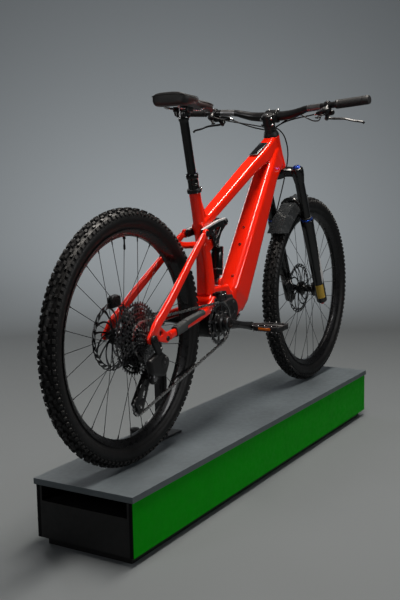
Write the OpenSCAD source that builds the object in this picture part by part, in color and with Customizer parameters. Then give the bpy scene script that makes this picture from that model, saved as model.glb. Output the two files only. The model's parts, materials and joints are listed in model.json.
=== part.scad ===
// Electric full-suspension mountain bicycle, held by a small display prop on a low plinth.
// +X is the riding direction, +Y the rider's left, +Z up.
// The origin is the middle of the plinth's footprint, on the floor.

/* [Plinth] */
// Length of the plinth's top slab
plinth_length = 1736; // [1640:2:1900]
// Width of the plinth's top slab
plinth_width = 337; // [320:1:420]
// Height of the plinth, floor to top
plinth_height = 196; // [180:1:260]
// Thickness of the top slab
slab_thickness = 17; // [12:1:24]
// Width of the slot in the rear end panel
slot_width = 290; // [200:2:300]

/* [Wheels] */
// Distance between the two axles
wheelbase = 1267; // [1250:1:1280]
// Outer radius of the tyres
tyre_radius = 372; // [368:0.5:374]
// Width of the tyres
tyre_width = 66; // [58:1:68]
// Number of spokes in each wheel
spoke_count = 28; // [24:4:32]
// Radius of the disc brake rotors
rotor_radius = 101.5; // [90:0.5:101.5]

/* [Cockpit] */
// Width of the handlebar
bar_width = 780; // [740:2:800]
// Length of each grip
grip_length = 128; // [110:1:135]

/* [Drivetrain] */
// Length of the crank arms
crank_length = 165; // [155:1:170]
// Chainring teeth
chainring_teeth = 34; // [32:1:34]

/* [Hidden] */
$fn = 48;

// Clearances between parts that move past each other
gap = 0.3;
pin_gap = 0.05;
open_pivot_gap = 2.5;

// Axles, above the plinth's top
axle_z = 372;
rear_x = -wheelbase / 2;
front_x = wheelbase / 2;
tyre_r = tyre_width / 2;
rim_outer = 311;
rim_inner = 290;
axle_r = 6;

// Steering axis: a frame with its origin at the foot of the axis, +Z up along it
head_angle = 65.5;
fork_offset = 44;
steer_foot = [front_x - fork_offset * sin(head_angle), axle_z - fork_offset * cos(head_angle)];
leg_y = 70;
leg_x = 14;
stanchion_r = 18;
crown_low = 517;
crown_top = 549;
seal_z = 333;
head_low = 553;
head_top = 683;
bar_x = 40;
bar_z = 742;
clamp_r = 17.5;

// Handlebar centre line on the left side, in the steering frame
bar_mid = [bar_x, 45, bar_z];
bar_bend = [34, 150, 766];
bar_end = [8, bar_width / 2, 793];
bar_dir = (bar_end - bar_bend) / norm(bar_end - bar_bend);
// Direction from the handlebar to the brake levers
lever_dir = [0.26, 0, -0.966];

// Seat tube axis
seat_top = [-247, 779];
seat_tilt = -14.1;
post_bore = 17.4;
stanchion_post_r = 14.3;

// Rear suspension pivots, [x, z] above the plinth's top
main_pivot = [-200, 425];
horst_pivot = [-550, 362];
stay_pivot = [-247, 647];
rocker_pivot = [-168, 612];
shock_top = [-98, 678];
shock_foot = [-116, 480];
shock_len = norm(shock_top - shock_foot);
shock_angle = atan2(shock_top[0] - shock_foot[0], shock_top[1] - shock_foot[1]);
dropout_y = 74;

// Drivetrain
bb = [-185, 352];
chain_pitch = 12.7;
chain_y = -50;
crank_y = 78;
crank_tilt = 11;
pedal_y = 155;
cog_teeth = [51, 45, 39, 33, 28, 24, 21, 18, 16, 14, 12, 10];
cog_step = 3.65;
driven_cog = 5;
guide_at = [-622, 258];
tension_at = [-660, 180];
pulley_teeth = 12;
chain_h = 8;
chain_w = 5;
split_x = horst_pivot[0];

function pitch_r(teeth) = teeth * chain_pitch / 360 * 57.29578;
function at3(p, y) = [p[0], y, p[1]];
// Wheels of the chain's path: [centre, radius, side], side 1 turns with the cranks, -1 against them
loop = [[bb, pitch_r(chainring_teeth), 1], [tension_at, pitch_r(pulley_teeth), 1],
  [guide_at, pitch_r(pulley_teeth), -1],
  [[rear_x, axle_z], pitch_r(cog_teeth[driven_cog]), 1]];
function angle_of(v) = atan2(v[1], v[0]);
// Direction of the tangent point on two neighbouring wheels, for a path that runs from a to b
function tangent(a, b) = angle_of(b[0] - a[0])
  + acos((a[2] * a[1] - b[2] * b[1]) / norm(b[0] - a[0]));
function wrap(v) = v < 0 ? v + 360 : v;
// Points of the chain path, moved sideways by w
function wheel_points(before, here, after, w) =
  let (start = tangent(before, here), stop = tangent(here, after),
    sweep = here[2] > 0 ? -wrap(start - stop) : wrap(stop - start), steps = 24)
  [for (i = [0 : steps]) let (t = start + sweep * i / steps)
    here[0] + (here[2] * here[1] + w) * [cos(t), sin(t)]];
function loop_points(w) = [for (i = [0 : 3])
  each wheel_points(loop[(i + 3) % 4], loop[i], loop[(i + 1) % 4], w)];

// ---- helpers ----
module on_bike() translate([0, 0, plinth_height]) children();
module on_steerer() on_bike() translate([steer_foot[0], 0, steer_foot[1]])
  rotate([0, head_angle - 90, 0]) children();
module on_seat_axis() on_bike() translate(at3(seat_top, 0)) rotate([0, seat_tilt, 0]) children();
module on_shock() on_bike() translate(at3(shock_foot, 0)) rotate([0, shock_angle, 0]) children();
// Cylinder between two points
module rod(a, b, r, r_end = undef) {
  d = b - a;
  translate(a) rotate([0, acos(d[2] / norm(d)), atan2(d[1], d[0])])
    cylinder(h = norm(d), r1 = r, r2 = r_end == undef ? r : r_end);
}
// Ball that joins two rods of radius r, a little proud of both
module knuckle(p, r) translate(p) sphere(r + 0.6);
// Cylinder along Y at [x, z], from y0 to y1
module across(p, r, y0, y1) translate([p[0], y0, p[1]]) rotate([-90, 0, 0])
  cylinder(h = y1 - y0, r = r);
// Pair of the same shape on both sides
module both() for (side = [-1, 1]) scale_y(side) children();
module scale_y(side) if (side < 0) mirror([0, 1, 0]) children(); else children();
// Flat plate in the XZ plane through rounded corners, from y0 to y1
module plate(corners, r, y0, y1) translate([0, y1, 0]) rotate([90, 0, 0])
  linear_extrude(y1 - y0) hull() for (p = corners) translate(p) circle(r, $fn = 32);
// Block of w (across) and h, standing square to the direction from a to b, both [x, z]
module section(a, b, w, h, r) translate(at3(a, 0))
  rotate([0, 90 - angle_of(b - a), 0]) linear_extrude(0.5)
  for (sx = [-1, 1], sy = [-1, 1]) translate([sx * (h / 2 - r), sy * (w / 2 - r)])
  circle(r, $fn = 24);
// Straight box tube with rounded edges from a to b
module box_tube(a, b, wa, ha, wb, hb, r) hull() {
  section(a, b, wa, ha, r);
  section(b, 2 * b - a, wb, hb, r);
}
module wheel_at(x) on_bike() translate([x, 0, axle_z]) rotate([90, 0, 0]) children();

// ---- plinth and display prop ----
panel_gap = 2;
kick_h = 25;
panel_t = 12;
overhang = 5;
panel_top = plinth_height - slab_thickness;
body_l = plinth_length - 2 * overhang;
body_w = plinth_width - 2 * overhang;
slot_h = 46;
slot_depth = 180;

module plinth_slab() color("dimgray")
  translate([-plinth_length / 2, -plinth_width / 2, panel_top])
  cube([plinth_length, plinth_width, slab_thickness]);

module plinth_side_panels() color("green") both()
  translate([-body_l / 2, body_w / 2 - panel_t, kick_h])
  cube([body_l, panel_t, panel_top - kick_h]);

module plinth_carcass() color("black") {
  inner_w = body_w - 2 * panel_t;
  kick_in = 20;
  difference() {
    union() {
      translate([-body_l / 2, -inner_w / 2, kick_h]) cube([body_l, inner_w, panel_top - kick_h]);
      translate([-body_l / 2 + kick_in, -body_w / 2 + kick_in, 0])
        cube([body_l - 2 * kick_in, body_w - 2 * kick_in, kick_h]);
    }
    translate([-body_l / 2 + 16 + slot_depth, -inner_w / 2 + 14, kick_h])
      cube([body_l - 32 - slot_depth, inner_w - 28, panel_top - kick_h]);
    translate([-body_l / 2 - 1, -slot_width / 2, panel_top - slot_h])
      cube([slot_depth + 1, slot_width, slot_h]);
  }
}

column_x = -380;
column_y = 59;
module stand_column() color("#202022") on_bike() {
  foot_t = 6;
  difference() {
    union() {
      translate([column_x - 90, column_y - 18, 0]) cube([180, 110, foot_t]);
      for (dx = [-15, 15]) translate([column_x + dx - 7, column_y - 9, foot_t])
        cube([14, 18, 250]);
      translate([column_x - 22, column_y - 9, foot_t + 238]) cube([44, 18, 14]);
      translate([column_x - 22, column_y - 9, foot_t + 60]) cube([44, 18, 8]);
    }
    for (dx = [-42, 42]) translate([column_x + dx, column_y + 75, -1])
      cylinder(h = foot_t + 2, r = 4);
  }
  translate([column_x, column_y, foot_t + 252]) cylinder(h = 108, r = 7);
  translate([column_x - 14, column_y - 9, foot_t + 360]) cube([28, 18, 4]);
  for (dx = [-42, 42]) translate([column_x + dx, column_y + 75, foot_t]) {
    cylinder(h = 14, r = 13);
    translate([0, 0, 14]) cylinder(h = 16, r = 7);
  }
}

// ---- front triangle ----
module head_tube() color("red") on_steerer() difference() {
  union() {
    translate([0, 0, head_low]) cylinder(h = 45, r1 = 30, r2 = 27);
    translate([0, 0, head_low + 45]) cylinder(h = head_top - head_low - 45, r = 27);
  }
  translate([0, 0, head_low - 1]) cylinder(h = head_top - head_low + 2, r = stanchion_r + 2);
}
module steerer_hole() on_steerer() translate([0, 0, head_low - 30])
  cylinder(h = head_top - head_low + 60, r = stanchion_r + 2);
top_front = [300, 940];
top_mid = [120, 852];
top_rear = [-200, 680];
module top_tube() color("orangered") difference() {
  on_bike() {
    box_tube(top_rear, top_mid, 44, 34, 50, 40, 10);
    box_tube(top_mid, top_front, 50, 40, 50, 64, 10);
  }
  on_steerer() {
    translate([0, 0, head_low - 60]) cylinder(h = 260, r = 26.9);
    translate([0, 0, head_top]) cylinder(h = 60, r = 34);
  }
  on_seat_axis() translate([0, 0, -260]) cylinder(h = 300, r = 20.9);
}
down_top = [275, 853];
down_end = [-15, 400];
module down_tube() color("red") difference() {
  on_bike() {
    box_tube(down_end, down_top, 76, 124, 76, 76, 14);
    hull() {
      section(down_top, 2 * down_top - down_end, 76, 76, 14);
      section([338, 900], [368, 925], 52, 92, 10);
    }
  }
  on_bike() box_tube([-40, 361], [235, 790], 60, 80, 60, 56, 8);
  on_steerer() translate([0, 0, head_low - 30]) cylinder(h = 200, r = 26.9);
  on_bike() box_tube(top_mid, top_front, 50.2, 40.2, 50.2, 64.2, 10);
}
module battery() color("#303236") on_bike() box_tube([-8, 411], [205, 743], 54, 62, 54, 52, 6);

module seat_tube() color("red") difference() {
  union() {
    on_seat_axis() translate([0, 0, -212]) cylinder(h = 212, r = 21);
    on_bike() {
      box_tube([-186, 452], [-200, 596], 54, 46, 42, 42, 12);
      plate([[-196, 448], [-60, 436], [-80, 452]], 10, -26, 26);
      across(main_pivot, 16, -30, 30);
      plate([shock_foot, [-116, 452]], 13, -22, -13);
      plate([shock_foot, [-116, 452]], 13, 13, 22);
      plate([rocker_pivot, [-196, 600]], 12, -23, 23);
      across(shock_foot, 5, -22, 22);
      both() across(main_pivot, 7.5, 30, 44);
    }
  }
  on_seat_axis() translate([0, 0, -205]) cylinder(h = 210, r = post_bore);
  on_bike() across(rocker_pivot, 6 + pin_gap, -30, 30);
}
module drive_unit() color("#151517") difference() {
  on_bike() plate([[bb[0], bb[1]], [-80, 372]], 52, -42, 42);
  on_bike() across(bb, 15.5, -50, 50);
  on_bike() box_tube(down_end, down_top, 77, 125, 77, 77, 14);
  on_bike() plate([[-196, 448], [-60, 436], [-80, 452]], 10.5, -60, 60);
  on_bike() across(main_pivot, 19, -60, 60);
}
module display_unit() color("black") on_bike()
  translate([205, 0, 925.6]) rotate([0, -27, 0]) translate([-48, -15, -3]) cube([96, 30, 6]);
module chain_guide() color("black") on_bike() {
  difference() {
    translate([-180, -62, 424]) cube([36, 24, 30]);
    translate([-184, -55, 400]) cube([44, 10, 46]);
  }
  translate([-180, -40, 440]) cube([24, 14, 10]);
}
module seatpost_outer() color("#101012") on_seat_axis() difference() {
  union() {
    translate([0, 0, -203]) cylinder(h = 203, r = post_bore);
    cylinder(h = 8, r = 23);
    translate([0, 0, 8]) cylinder(h = 36, r = post_bore);
    translate([0, 0, 44]) cylinder(h = 16, r = 20);
    translate([19, 0, 4]) rotate([90, 0, 0]) translate([0, 0, -12]) cylinder(h = 24, r = 5);
  }
  translate([0, 0, -204]) cylinder(h = 270, r = stanchion_post_r + gap);
}

// ---- rear suspension ----
yoke = [-238, 404];
module chainstays() color("red") on_bike() difference() {
  union() {
    across(yoke, 11, -46, 46);
    both() {
      plate([main_pivot, yoke], 14, 31, 43);
      rod([yoke[0], 42, yoke[1]], [-522, 69.6, 363.7], 10, 8.6);
      plate([[-524, 364], horst_pivot], 12, 65.5, 73.7);
      across(horst_pivot, 5, 70, 84);
    }
  }
  across(main_pivot, 7.5 + pin_gap, -60, 60);
}
module seatstays() color("red") on_bike() difference() {
  union() {
    both() {
      plate([[rear_x, axle_z], horst_pivot, [-610, 396]], 14, dropout_y, 83);
      rod([-612, 78, 398], [-505, 71, 476], 9);
      knuckle([-505, 71, 476], 9);
      rod([-505, 71, 476], [-296, 46, 619], 9);
      knuckle([-296, 46, 619], 9);
      rod([-296, 46, 619], [stay_pivot[0], 39, stay_pivot[1]], 9);
      across(stay_pivot, 14, 32.6, 45);
    }
    across([-300, 616], 8, -46, 46);
  }
  both() across(stay_pivot, 5 + open_pivot_gap, 20, 60);
  both() across(horst_pivot, 5 + pin_gap, 60, 90);
  across([rear_x, axle_z], axle_r, -100, 100);
  // keeps the tips clear of the rocker plates
  both() across(stay_pivot, 22, 20, 32.6);
}
module rear_axle() color("#222226") wheel_axle(rear_x);
module wheel_axle(x) on_bike() {
  across([x, axle_z], axle_r, -84, 83);
  across([x, axle_z], 10, 83, 89);
}
module rear_caliper() color("black") on_bike() difference() {
  union() {
    translate([-652, 38, 452]) cube([54, 24, 38]);
    plate([[-640, 458], [-622, 400]], 7, 62, 74);
  }
  translate([-660, 48.5, 440]) cube([70, 4, 37]);
}
module rocker_link() color("#1a1a1c") on_bike() difference() {
  union() {
    both() {
      plate([stay_pivot, [-190, 655]], 11, 24, 32);
      plate([[-190, 655], rocker_pivot, shock_top], 11, 24, 32);
    }
    across(rocker_pivot, 6, -32, 32);
    across(shock_top, 6, -32, 32);
    both() across(stay_pivot, 5, 24, 48);
  }
}
module shock_head() color("#8a8c90") on_shock() difference() {
  union() {
    translate([0, 12, shock_len]) rotate([90, 0, 0]) cylinder(h = 24, r = 12);
    translate([0, 0, shock_len - 30]) cylinder(h = 24, r = 17);
    translate([0, 0, shock_len - 134]) cylinder(h = 114, r = 6);
    translate([-36, -8, shock_len - 26]) cube([36, 16, 16]);
    translate([-35, 0, shock_len - 74]) cylinder(h = 66, r = 13);
  }
  translate([0, 20, shock_len]) rotate([90, 0, 0]) cylinder(h = 40, r = 6 + pin_gap);
}
module shock_can() color("black") on_shock() difference() {
  union() {
    translate([0, 12, 0]) rotate([90, 0, 0]) cylinder(h = 24, r = 12);
    translate([0, 0, 8]) cylinder(h = 110, r = 12);
    translate([0, 0, 20]) cylinder(h = 98, r = 21);
  }
  translate([0, 20, 0]) rotate([90, 0, 0]) cylinder(h = 40, r = 5 + open_pivot_gap);
  translate([0, 0, 14]) cylinder(h = 120, r = 6 + gap);
}

// ---- wheels ----
module tyre() rotate_extrude($fn = 96) difference() {
  translate([tyre_radius - gap - tyre_r, 0]) circle(tyre_r);
  translate([tyre_radius - gap - tyre_r, 0]) circle(tyre_r - 4);
  translate([rim_outer - 60, -40]) square([60, 80]);
}
module rim() rotate_extrude($fn = 96) difference() {
  polygon([[rim_inner, -8], [rim_outer, -19], [rim_outer, 19], [rim_inner, 8]]);
  polygon([[rim_inner + 3, -6], [rim_outer - 7, -12], [rim_outer - 7, 12], [rim_inner + 3, 6]]);
}
// Crossed spokes: every second one leans the other way, on alternate flanges
module spokes(flange_left, flange_right) {
  hub_r = 26;
  lacing = 65;
  for (i = [0 : spoke_count - 1]) {
    turn = 360 / spoke_count * i;
    lean = (i % 4 < 2) ? 1 : -1;
    flange = (i % 2 == 0) ? flange_left : flange_right;
    lift = lean * 1.5;
    rod([hub_r * cos(turn + lean * lacing), hub_r * sin(turn + lean * lacing), flange + lift],
      [rim_inner * cos(turn), rim_inner * sin(turn), lift], 1);
  }
}
module hub(flange_left, flange_right, end_left, end_right) difference() {
  union() {
    translate([0, 0, flange_right]) cylinder(h = flange_left - flange_right, r = 15);
    for (z = [flange_left, flange_right]) translate([0, 0, z - 4]) cylinder(h = 8, r = 28);
    translate([0, 0, end_right]) cylinder(h = end_left - end_right, r = 10);
  }
  translate([0, 0, end_right - 1]) cylinder(h = end_left - end_right + 2, r = axle_r + gap);
}
// Brake disc: a slotted ring on a spider
module rotor(at) translate([0, 0, at - 1]) difference() {
  union() {
    difference() {
      cylinder(h = 2, r = rotor_radius, $fn = 96);
      translate([0, 0, -1]) cylinder(h = 4, r = rotor_radius - 16, $fn = 96);
    }
    for (i = [0 : 5]) rotate(60 * i) translate([15, -4, 0]) cube([rotor_radius - 25, 8, 2]);
    cylinder(h = 2, r = 24);
  }
  translate([0, 0, -1]) cylinder(h = 4, r = 10);
}
// The wheel's own axis points to the right side of the bicycle, so its +Z is -Y
module rear_tyre() color("#161616") wheel_at(rear_x) tyre();
module rear_rim() color("#1c1c1e") wheel_at(rear_x) rim();
module rear_spokes() color("#2a2a2c") wheel_at(rear_x) spokes(22, -30);
module rear_hub() color("#1c1c1e") wheel_at(rear_x) hub(22, -30, 27.5, -dropout_y + gap);
module rear_rotor() color("#3a3a3c") wheel_at(rear_x) rotor(-50.5);
module front_tyre() color("#161616") wheel_at(front_x) tyre();
module front_rim() color("#1c1c1e") wheel_at(front_x) rim();
module front_spokes_hub() color("#2a2a2c") wheel_at(front_x) {
  spokes(30, -22);
  hub(30, -22, 54.7, -54.7);
}
module front_rotor() color("#3a3a3c") wheel_at(front_x) rotor(-38);

// ---- drivetrain ----
module cassette() color("#2c2c2e") wheel_at(rear_x) {
  first = -chain_y - driven_cog * cog_step;
  last = first + (len(cog_teeth) - 1) * cog_step;
  difference() {
    union() {
      for (i = [0 : len(cog_teeth) - 1]) translate([0, 0, first + i * cog_step - 0.9])
        cylinder(h = 1.8, r = pitch_r(cog_teeth[i]) - chain_h / 2 - gap);
      translate([0, 0, first - 1]) cylinder(h = last - first + 2, r = 14);
      translate([0, 0, last]) cylinder(h = dropout_y - gap - last, r = 11);
    }
    translate([0, 0, first - 2]) cylinder(h = 60, r = axle_r + gap);
  }
}
module chain_loop() translate([0, chain_y + chain_w / 2, 0]) rotate([90, 0, 0])
  linear_extrude(chain_w) difference() {
    polygon(loop_points(chain_h / 2));
    polygon(loop_points(-chain_h / 2));
  }
module chain_front() color("#3c3c40") on_bike() intersection() {
  chain_loop();
  translate([split_x, -100, 0]) cube([600, 100, 600]);
}
module chain_rear() color("#3c3c40") on_bike() intersection() {
  chain_loop();
  translate([split_x - 300, -100, 0]) cube([300, 100, 600]);
}
module derailleur_body() color("#0c0c0e") on_bike() difference() {
  union() {
    plate([[rear_x, axle_z], [-612, 330]], 15, -96, -84.5);
    plate([[-604, 340], [-578, 300]], 26, -96, -72);
    plate([[-590, 296], guide_at], 17, -84, -70);
  }
  across([rear_x, axle_z], axle_r, -97, -80);
  across(guide_at, 6 + pin_gap, -97, -60);
}
module derailleur_cage() color("#161618") on_bike() {
  plate([guide_at, tension_at], 17, -58, -55.5);
  plate([guide_at, tension_at], 17, -44.5, -42);
  across(guide_at, 6, -84, -58);
  across(guide_at, 3.5, -58, -42);
  across(tension_at, 3.5, -58, -42);
}
module pulley(p) on_bike() difference() {
  across(p, pitch_r(pulley_teeth) - chain_h / 2 - gap, chain_y - 2, chain_y + 2);
  across(p, 3.5 + pin_gap, chain_y - 10, chain_y + 10);
}
module guide_pulley() color("#222224") pulley(guide_at);
module tension_pulley() color("#222224") pulley(tension_at);

// The right crank points forward and a little down, the left one backward
module on_crank(side) on_bike() translate(at3(bb, 0)) rotate([0, crank_tilt + side, 0]) children();
module crank_arm_right() color("#2a2a2e") on_crank(0) difference() {
  union() {
    rotate([90, 0, 0]) cylinder(h = crank_y + 9, r = 11);
    plate([[0, 0], [crank_length, 0]], 15, -crank_y - 9, -crank_y + 7);
    rotate([90, 0, 0]) translate([0, 0, crank_y - 8]) cylinder(h = 17, r = 21);
  }
  translate([crank_length, 0, 0]) across([0, 0], 7 + pin_gap, -100, -50);
}
module crank_arm_left() color("#2a2a2e") on_crank(180) difference() {
  union() {
    rotate([-90, 0, 0]) cylinder(h = crank_y + 9, r = 11);
    plate([[0, 0], [crank_length, 0]], 15, crank_y - 7, crank_y + 9);
    rotate([-90, 0, 0]) translate([0, 0, crank_y - 8]) cylinder(h = 17, r = 21);
  }
  translate([crank_length, 0, 0]) across([0, 0], 7 + pin_gap, 50, 100);
}
module chainring() color("#18181a") on_crank(0) difference() {
  union() {
    across([0, 0], pitch_r(chainring_teeth) - chain_h / 2 - gap, chain_y - 1.5, chain_y + 1.5);
    across([0, 0], 30, chain_y - 20, chain_y + 1.5);
  }
  across([0, 0], 11, -90, 0);
  for (i = [0 : 3]) rotate([0, 90 * i + 45, 0]) across([47, 0], 10, -90, 0);
}
// Flat pedal on the end of a crank, its platform level at rest
module pedal(side) on_bike() translate(at3(bb, 0)) translate([side * crank_length * cos(crank_tilt),
  0, -side * crank_length * sin(crank_tilt)]) scale_y(-side) {
  across([0, 0], 7, crank_y - 6, crank_y + 25);
  across([0, 0], 4.5, crank_y + 25, pedal_y + 44);
  difference() {
    translate([-50, pedal_y - 50, -9]) cube([100, 100, 18]);
    for (sx = [-1, 1], sy = [-1, 1])
      translate([sx * 25 - 16, pedal_y + sy * 23 - 15, -10]) cube([32, 30, 20]);
  }
}
module pedal_right() color("#1e1e20") pedal(1);
module pedal_left() color("#1e1e20") pedal(-1);

// ---- fork and steering ----
module fork_crown() color("#2a2c30") on_steerer() difference() {
  union() {
    translate([0, 0, crown_low]) cylinder(h = crown_top - crown_low, r = 30);
    both() hull() {
      translate([0, 10, crown_low + 4]) cylinder(h = crown_top - crown_low - 4, r = 24);
      translate([leg_x, leg_y, crown_low]) cylinder(h = crown_top - crown_low - 4, r = 24);
    }
    translate([0, 0, crown_top]) cylinder(h = 4 - gap, r = 26);
    translate([0, 0, crown_top]) cylinder(h = 725 - crown_top, r = stanchion_r);
  }
  both() translate([leg_x, leg_y, crown_low - 1])
    cylinder(h = crown_top - crown_low + 2, r = stanchion_r);
}
module fork_stanchions() color("#0e0e10") on_steerer() both()
  translate([leg_x, leg_y, 168]) cylinder(h = crown_top - 4 - 168, r = stanchion_r);
module fork_dial() color("#1560d0") on_steerer()
  translate([leg_x, -leg_y, crown_top - 4 + gap]) cylinder(h = 9, r1 = 14, r2 = 11);
module fork_lowers() color("#0d0d0f") on_steerer() difference() {
  union() {
    both() {
      translate([leg_x, leg_y, seal_z - 40]) cylinder(h = 40, r = 23.5);
      translate([leg_x, leg_y, -38]) cylinder(h = seal_z - 2, r1 = 19, r2 = 22.5);
      hull() {
        translate([leg_x, leg_y + 2, 0]) rotate([90, 0, 0]) cylinder(h = 17, r = 17);
        translate([fork_offset, leg_y + 2, 0]) rotate([90, 0, 0]) cylinder(h = 17, r = 14);
      }
      rod([leg_x + 17, leg_y - 11, seal_z - 22], [46, 30, 393], 6.5);
      knuckle([46, 30, 393], 6.5);
    }
    rod([46, -30, 393], [46, 30, 393], 6.5);
  }
  both() translate([leg_x, leg_y, 5]) cylinder(h = seal_z, r = stanchion_r + gap);
  translate([fork_offset, 0, 0]) across([0, 0], axle_r, -90, 90);
}
module mudguard() color("#242628") on_bike() translate([front_x, 0, axle_z]) rotate([90, 0, 0])
  rotate(99) rotate_extrude(angle = 43, $fn = 96)
  polygon([[383, -42], [389, -26], [391, 0], [389, 26], [383, 42], [381, 41],
    [387, 25], [389, 0], [387, -25], [381, -41]]);
module front_axle() color("#222226") on_steerer() translate([fork_offset, 0, 0]) {
  across([0, 0], axle_r, -78, 72);
  across([0, 0], 9, 72, 77);
}
module front_caliper() color("black") on_steerer() difference() {
  union() {
    translate([-66, 27, 40]) cube([36, 23, 44]);
    translate([-40, 44, 48]) cube([42, 12, 28]);
  }
  translate([-60, 36, 30]) cube([40, 4, 60]);
  translate([-61, 36, 30]) cube([20, 4, 50]);
  translate([leg_x, leg_y, -50]) cylinder(h = 200, r = 22.6);
}
module stem() color("#141416") on_steerer() difference() {
  union() {
    translate([0, 0, head_top + gap]) cylinder(h = 18, r1 = 29, r2 = 24);
    translate([0, 0, head_top + 18]) cylinder(h = 20, r = 21);
    translate([0, 0, 720]) cylinder(h = 44, r = 22);
    translate([bar_x, -24, bar_z]) rotate([-90, 0, 0]) cylinder(h = 48, r = 24);
    translate([0, -20, bar_z - 17]) cube([bar_x, 40, 34]);
  }
  translate([0, 0, head_top]) cylinder(h = 42, r = stanchion_r);
  translate([bar_x, -30, bar_z]) rotate([-90, 0, 0]) cylinder(h = 60, r = clamp_r);
}
module handlebar() color("#0f0f11") on_steerer() {
  translate([bar_x, -45, bar_z]) rotate([-90, 0, 0]) cylinder(h = 90, r = clamp_r);
  both() {
    knuckle(bar_mid, clamp_r);
    rod(bar_mid, bar_bend, clamp_r, 12);
    knuckle(bar_bend, 12);
    rod(bar_bend, bar_end, 11.1);
  }
}
module grips() color("#1d1d1f") on_steerer() both() difference() {
  rod(bar_end - bar_dir * grip_length, bar_end + bar_dir * 2, 16);
  rod(bar_end - bar_dir * (grip_length + 1), bar_end, 11.1);
}
function on_bar(s) = bar_end - bar_dir * s;
clamp_at = 163;
lever_pivot = on_bar(clamp_at + 16) + lever_dir * 48;
lever_axis = [0.966, 0, 0.26];
module control_bodies() color("#131315") on_steerer() both() difference() {
  union() {
    rod(on_bar(clamp_at + 8), on_bar(clamp_at - 8), 16);
    rod(on_bar(clamp_at) + lever_dir * 12, on_bar(clamp_at + 6) + lever_dir * 30, 9);
    rod(on_bar(clamp_at + 52) + lever_dir * 26, on_bar(clamp_at - 12) + lever_dir * 30, 9);
    rod(lever_pivot - lever_axis * 11, lever_pivot - lever_axis * 6.4, 7);
    rod(lever_pivot + lever_axis * 6.4, lever_pivot + lever_axis * 11, 7);
    rod(lever_pivot - lever_axis * 10.5, lever_pivot + lever_axis * 10.5, 3);
    for (k = [-10.4, 10.4]) rod(lever_pivot + lever_axis * k - lever_dir * 6,
      on_bar(clamp_at + 14) + lever_dir * 32 + lever_axis * k, 4);
    rod(on_bar(clamp_at - 4) + lever_axis * -12 + [0, 0, 4],
      on_bar(clamp_at - 4) + lever_axis * -30 + [0, 0, 4], 8);
    rod(on_bar(clamp_at - 4) + lever_axis * -30 - [0, 0, 4],
      on_bar(clamp_at - 4) + lever_axis * -30 + [0, 0, 8], 12);
  }
  rod(on_bar(clamp_at + 20), on_bar(clamp_at - 20), 11.1);
}
lever_knee = on_bar(112) + lever_dir * 64;
lever_tip = on_bar(48) + lever_dir * 86;
module blade(a, ra, b, rb) hull() {
  translate(a) sphere(ra, $fn = 16);
  translate(b) sphere(rb, $fn = 16);
}
module brake_lever() difference() {
  union() {
    rod(lever_pivot - lever_axis * 5, lever_pivot + lever_axis * 5, 7);
    blade(lever_pivot, 5, lever_knee, 5);
    blade(lever_knee, 5, lever_tip, 4);
  }
  rod(lever_pivot - lever_axis * 20, lever_pivot + lever_axis * 20, 3 + pin_gap);
}
module brake_lever_left() color("#1a1a1c") on_steerer() brake_lever();
module brake_lever_right() color("#1a1a1c") on_steerer() mirror([0, 1, 0]) brake_lever();
// Thumb levers: a paddle on a short boss below the control body
paddle_foot = on_bar(clamp_at - 4) - lever_axis * 30 - [0, 0, 4 + gap];
module paddle() {
  translate(paddle_foot - [0, 0, 5]) cylinder(h = 5, r = 9);
  rod(paddle_foot + [-4, -2, -2.6], paddle_foot + [-30, -22, -8], 2.4);
  translate(paddle_foot + [-30, -22, -8]) sphere(6);
}
module shift_paddle() color("#1a1a1c") on_steerer() mirror([0, 1, 0]) paddle();
module dropper_lever() color("#1a1a1c") on_steerer() paddle();

// Swept tube: eight sides, one ring at every point of the path
hose_sides = 8;
function ring(p, d, r) = let (u = cross(d, abs(d[1]) < 0.9 ? [0, 1, 0] : [1, 0, 0]),
  a = u / norm(u), b = cross(d, a) / norm(d))
  [for (i = [0 : hose_sides - 1]) p + r * (a * cos(i * 360 / hose_sides)
    + b * sin(i * 360 / hose_sides))];
module hose(path, r) {
  last = len(path) - 1;
  dirs = [for (i = [0 : last]) path[min(i + 1, last)] - path[max(i - 1, 0)]];
  points = [for (i = [0 : last]) each ring(path[i], dirs[i], r)];
  faces = concat([[for (i = [0 : hose_sides - 1]) i]],
    [for (k = [0 : last - 1], i = [0 : hose_sides - 1]) let (j = (i + 1) % hose_sides,
      b = k * hose_sides) [b + i, b + hose_sides + i, b + hose_sides + j, b + j]],
    [[for (i = [hose_sides - 1 : -1 : 0]) last * hose_sides + i]]);
  polyhedron(points, faces);
}
// Smooth curve through the middle of four guide points
function curve(a, b, c, d, n) = [for (i = [0 : n]) let (t = i / n, s = 1 - t)
  a * pow(s, 3) + b * 3 * s * s * t + c * 3 * s * t * t + d * pow(t, 3)];
hose_r = 2.5;
brake_port = on_bar(clamp_at + 52) + lever_dir * 26 + [0, -0.2, 0];
module hoses() color("#0c0c0e") on_steerer() {
  mirror([0, 1, 0]) hose(curve(brake_port, brake_port + [30, -60, -40], [60, 60, 735],
    [25, 12, 706], 16), hose_r);
  hose(curve(brake_port, brake_port + [10, -60, -40], [40, 50, 690], [24.5, 10, 696], 16),
    hose_r);
}
// Front brake hose, in the steering frame: ahead of the head tube, then down the left leg
brake_route = [[28, 8, 702], [90, 12, 672], [150, 22, 610], [172, 36, 530], [130, 50, 450],
  [72, 62, 380], [42, 77, 325], [30, 93, 260], [18, 98, 200], [-2, 97, 150], [-22, 80, 112],
  [-36, 44, 93], [-38, 40, 84.2]];
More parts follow.
